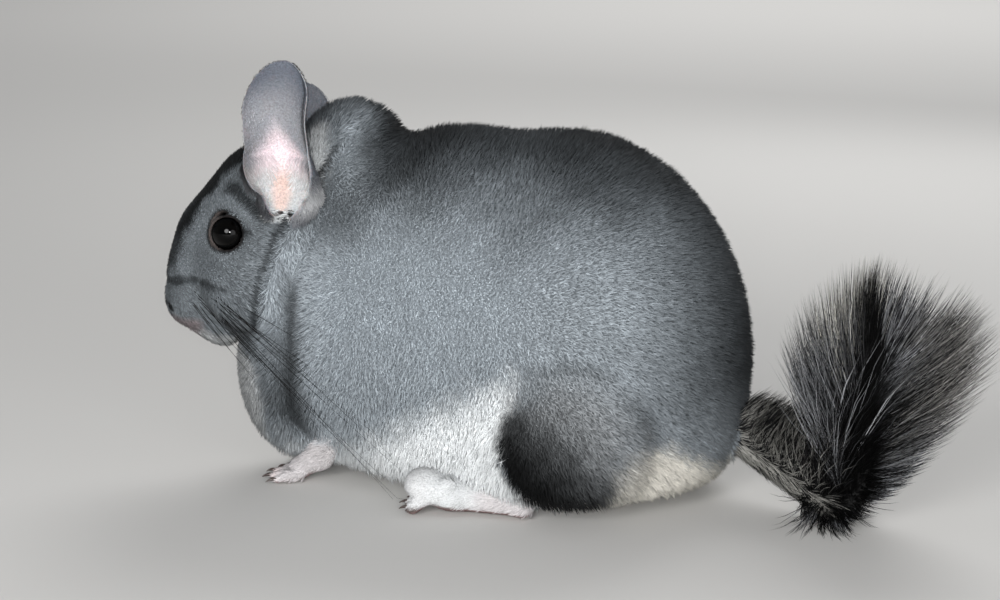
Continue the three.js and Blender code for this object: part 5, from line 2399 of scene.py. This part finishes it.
@dataclass
class Claws:
    """The small claws at the end of each toe.

    Attributes:
        anatomy: The toes that they end.
        length: How long they are.
        radius: How thick they are.
        horn: Their colour.
    """

    anatomy: Anatomy
    length: float = 3.4
    radius: float = 0.85
    horn: Colour = (0.05, 0.035, 0.03)

    def build(self, bench: Bench) -> None:
        """Makes all claws as one piece.

        Args:
            bench: The maker's axes.
        """
        strands = []
        for side in Side:
            for leg, digits in (
                (self.anatomy.front[side], self.anatomy.fingers),
                (self.anatomy.hind[side], self.anatomy.toes),
            ):
                for start, end in self.anatomy.digit_lines(leg, side, digits):
                    ahead = unit((end - start) * (1.0, 1.0, 0.0))
                    root = end + ahead * digits.radius * 0.2
                    t = np.linspace(0.0, 1.0, 7)[:, None]
                    line = root + ahead * (self.length + 0.8) * t
                    line[:, 2] = digits.radius * 0.95 + 0.35 * np.sin(t[:, 0] * 2.4) - 1.0 * t[:, 0] ** 2
                    line[:, 2] = np.maximum(line[:, 2], 0.25)
                    strands.append(strand(line, self.radius * (1.0 - 0.85 * t[:, 0] ** 1.4), 8, vec(*self.horn)))
        piece = Sheet.joined(strands).mesh_object("claws", bench)
        piece.data.materials.append(CLAW_FINISH.material())
        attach(piece, BODY)


# Stage


@dataclass
class Studio:
    """The floor, soft lights and camera.

    Attributes:
        target: The point the camera looks at, in the maker's millimetres.
        distance: How far the camera stands from it.
        elevation: Its height as an angle.
        azimuth: Its turn about the animal.
        roll: Its tilt.
        scale: Millimetres in one of the picture's 1000 columns, at the target.
        floor_radius: How far the floor reaches.
    """

    target: tuple[float, float, float] = (0.0, 0.0, 68.0)
    distance: float = 850.0
    elevation: float = 12.0
    azimuth: float = 8.0
    roll: float = 1.0
    scale: float = 0.37
    floor_radius: float = 2.6

    def build(self, bench: Bench) -> None:
        """Sets up the floor, the lights and the camera.

        Args:
            bench: The maker's axes.
        """
        self.floor()
        self.lights(bench)
        self.camera(bench)

    def floor(self) -> None:
        """A plain pale round floor."""
        shape = bmesh.new()
        bmesh.ops.create_circle(shape, cap_ends=True, segments=96, radius=self.floor_radius)
        mesh = bpy.data.meshes.new("floor")
        shape.to_mesh(mesh)
        shape.free()
        made = bpy.data.objects.new("floor", mesh)
        bpy.context.scene.collection.objects.link(made)
        paint = bpy.data.materials.new("pale_floor")
        paint.use_nodes = True
        shader = paint.node_tree.nodes["Principled BSDF"]
        shader.inputs["Base Color"].default_value = (0.62, 0.61, 0.59, 1.0)
        shader.inputs["Roughness"].default_value = 0.85
        mesh.materials.append(paint)

    def lights(self, bench: Bench) -> None:
        """A soft key from the front left, a broad fill, a weak light from behind and a small one by the camera.

        Args:
            bench: The maker's axes.
        """
        world = bpy.data.worlds.new("studio")
        world.use_nodes = True
        world.node_tree.nodes["Background"].inputs["Color"].default_value = (0.86, 0.88, 0.92, 1.0)
        world.node_tree.nodes["Background"].inputs["Strength"].default_value = 0.2
        bpy.context.scene.world = world
        bpy.context.scene.view_settings.view_transform = "Standard"
        for name, place, size, power in (
            ("key", (-200.0, -1020.0, 380.0), 0.45, 8.0),
            ("fill", (520.0, -900.0, 200.0), 0.7, 3.6),
            ("back", (200.0, 800.0, 620.0), 0.8, 2.5),
            ("spark", (120.0, -900.0, 250.0), 0.11, 4.2),
            ("floor", (200.0, 2300.0, 1500.0), 2.0, 30.0),
        ):
            lamp = bpy.data.lights.new(name, "AREA")
            lamp.shape = "DISK"
            lamp.size = size
            lamp.energy = power
            made = bpy.data.objects.new(name, lamp)
            spot = Vector(bench.metres(np.array(place)))
            aim = Vector(bench.metres(np.array(self.target if name != "floor" else (0.0, 1500.0, 0.0))))
            made.matrix_world = Matrix.Translation(spot) @ (aim - spot).to_track_quat("-Z", "Y").to_matrix().to_4x4()
            bpy.context.scene.collection.objects.link(made)

    def camera(self, bench: Bench) -> None:
        """The camera at the photograph's viewing angle.

        Args:
            bench: The maker's axes.
        """
        e, a, r = (math.radians(v) for v in (self.elevation, self.azimuth, self.roll))
        right = Vector((math.cos(a), math.sin(a), 0.0))
        back = Vector((math.sin(a) * math.cos(e), -math.cos(a) * math.cos(e), math.sin(e)))
        up = back.cross(right)
        right, up = right * math.cos(r) + up * math.sin(r), up * math.cos(r) - right * math.sin(r)
        lens = bpy.data.cameras.new("camera")
        lens.sensor_width = 36.0
        lens.lens = 36.0 * self.distance / (1000.0 * self.scale)
        lens.clip_start = 0.01
        made = bpy.data.objects.new("camera", lens)
        spot = Vector(bench.metres(np.array(self.target))) + back * self.distance * MM
        made.matrix_world = Matrix.Translation(spot) @ Matrix((right, up, back)).transposed().to_4x4()
        bpy.context.scene.collection.objects.link(made)
        bpy.context.scene.camera = made


def main() -> None:
    """Builds the animal in order and reports each piece."""
    logging.basicConfig(level=logging.INFO, format="%(message)s")
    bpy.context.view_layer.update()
    bench = Bench.on_frame()
    anatomy = Anatomy()
    markings = Markings()
    Studio().build(bench)
    poses = {
        Side.LEFT: EarPose((-74.5, -24.0, 102.0), (-70.5, -43, 158.5), (-0.14, -0.96, 0.2), -5.0),
        Side.RIGHT: EarPose((-76, 22.5, 99), (-88.5, 63, 135.5), (-0.3, 0.75, -0.5), 2.0),
    }
    ears = [Ear(side, poses[side]) for side in Side]
    skin = Skin(anatomy, markings, ears)
    skin.surface()
    skin.build(bench)
    LOG.info("skin built")
    Coat(skin, markings).build(bench)
    TailHair(anatomy, markings).build(bench)
    for ear in ears:
        ear.build(bench)
        Eye(ear.side).build(bench)
        LOG.info("%s ear and eye built", ear.side.label)
    Whiskers(anatomy).build(bench)
    Claws(anatomy).build(bench)
    bpy.context.view_layer.update()


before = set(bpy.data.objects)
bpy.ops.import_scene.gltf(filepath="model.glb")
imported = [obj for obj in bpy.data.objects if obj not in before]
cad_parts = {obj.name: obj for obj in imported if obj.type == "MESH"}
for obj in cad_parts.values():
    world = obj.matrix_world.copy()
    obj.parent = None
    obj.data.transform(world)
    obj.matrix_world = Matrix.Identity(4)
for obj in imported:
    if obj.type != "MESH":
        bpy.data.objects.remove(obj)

if __name__ == "__main__":
    main()
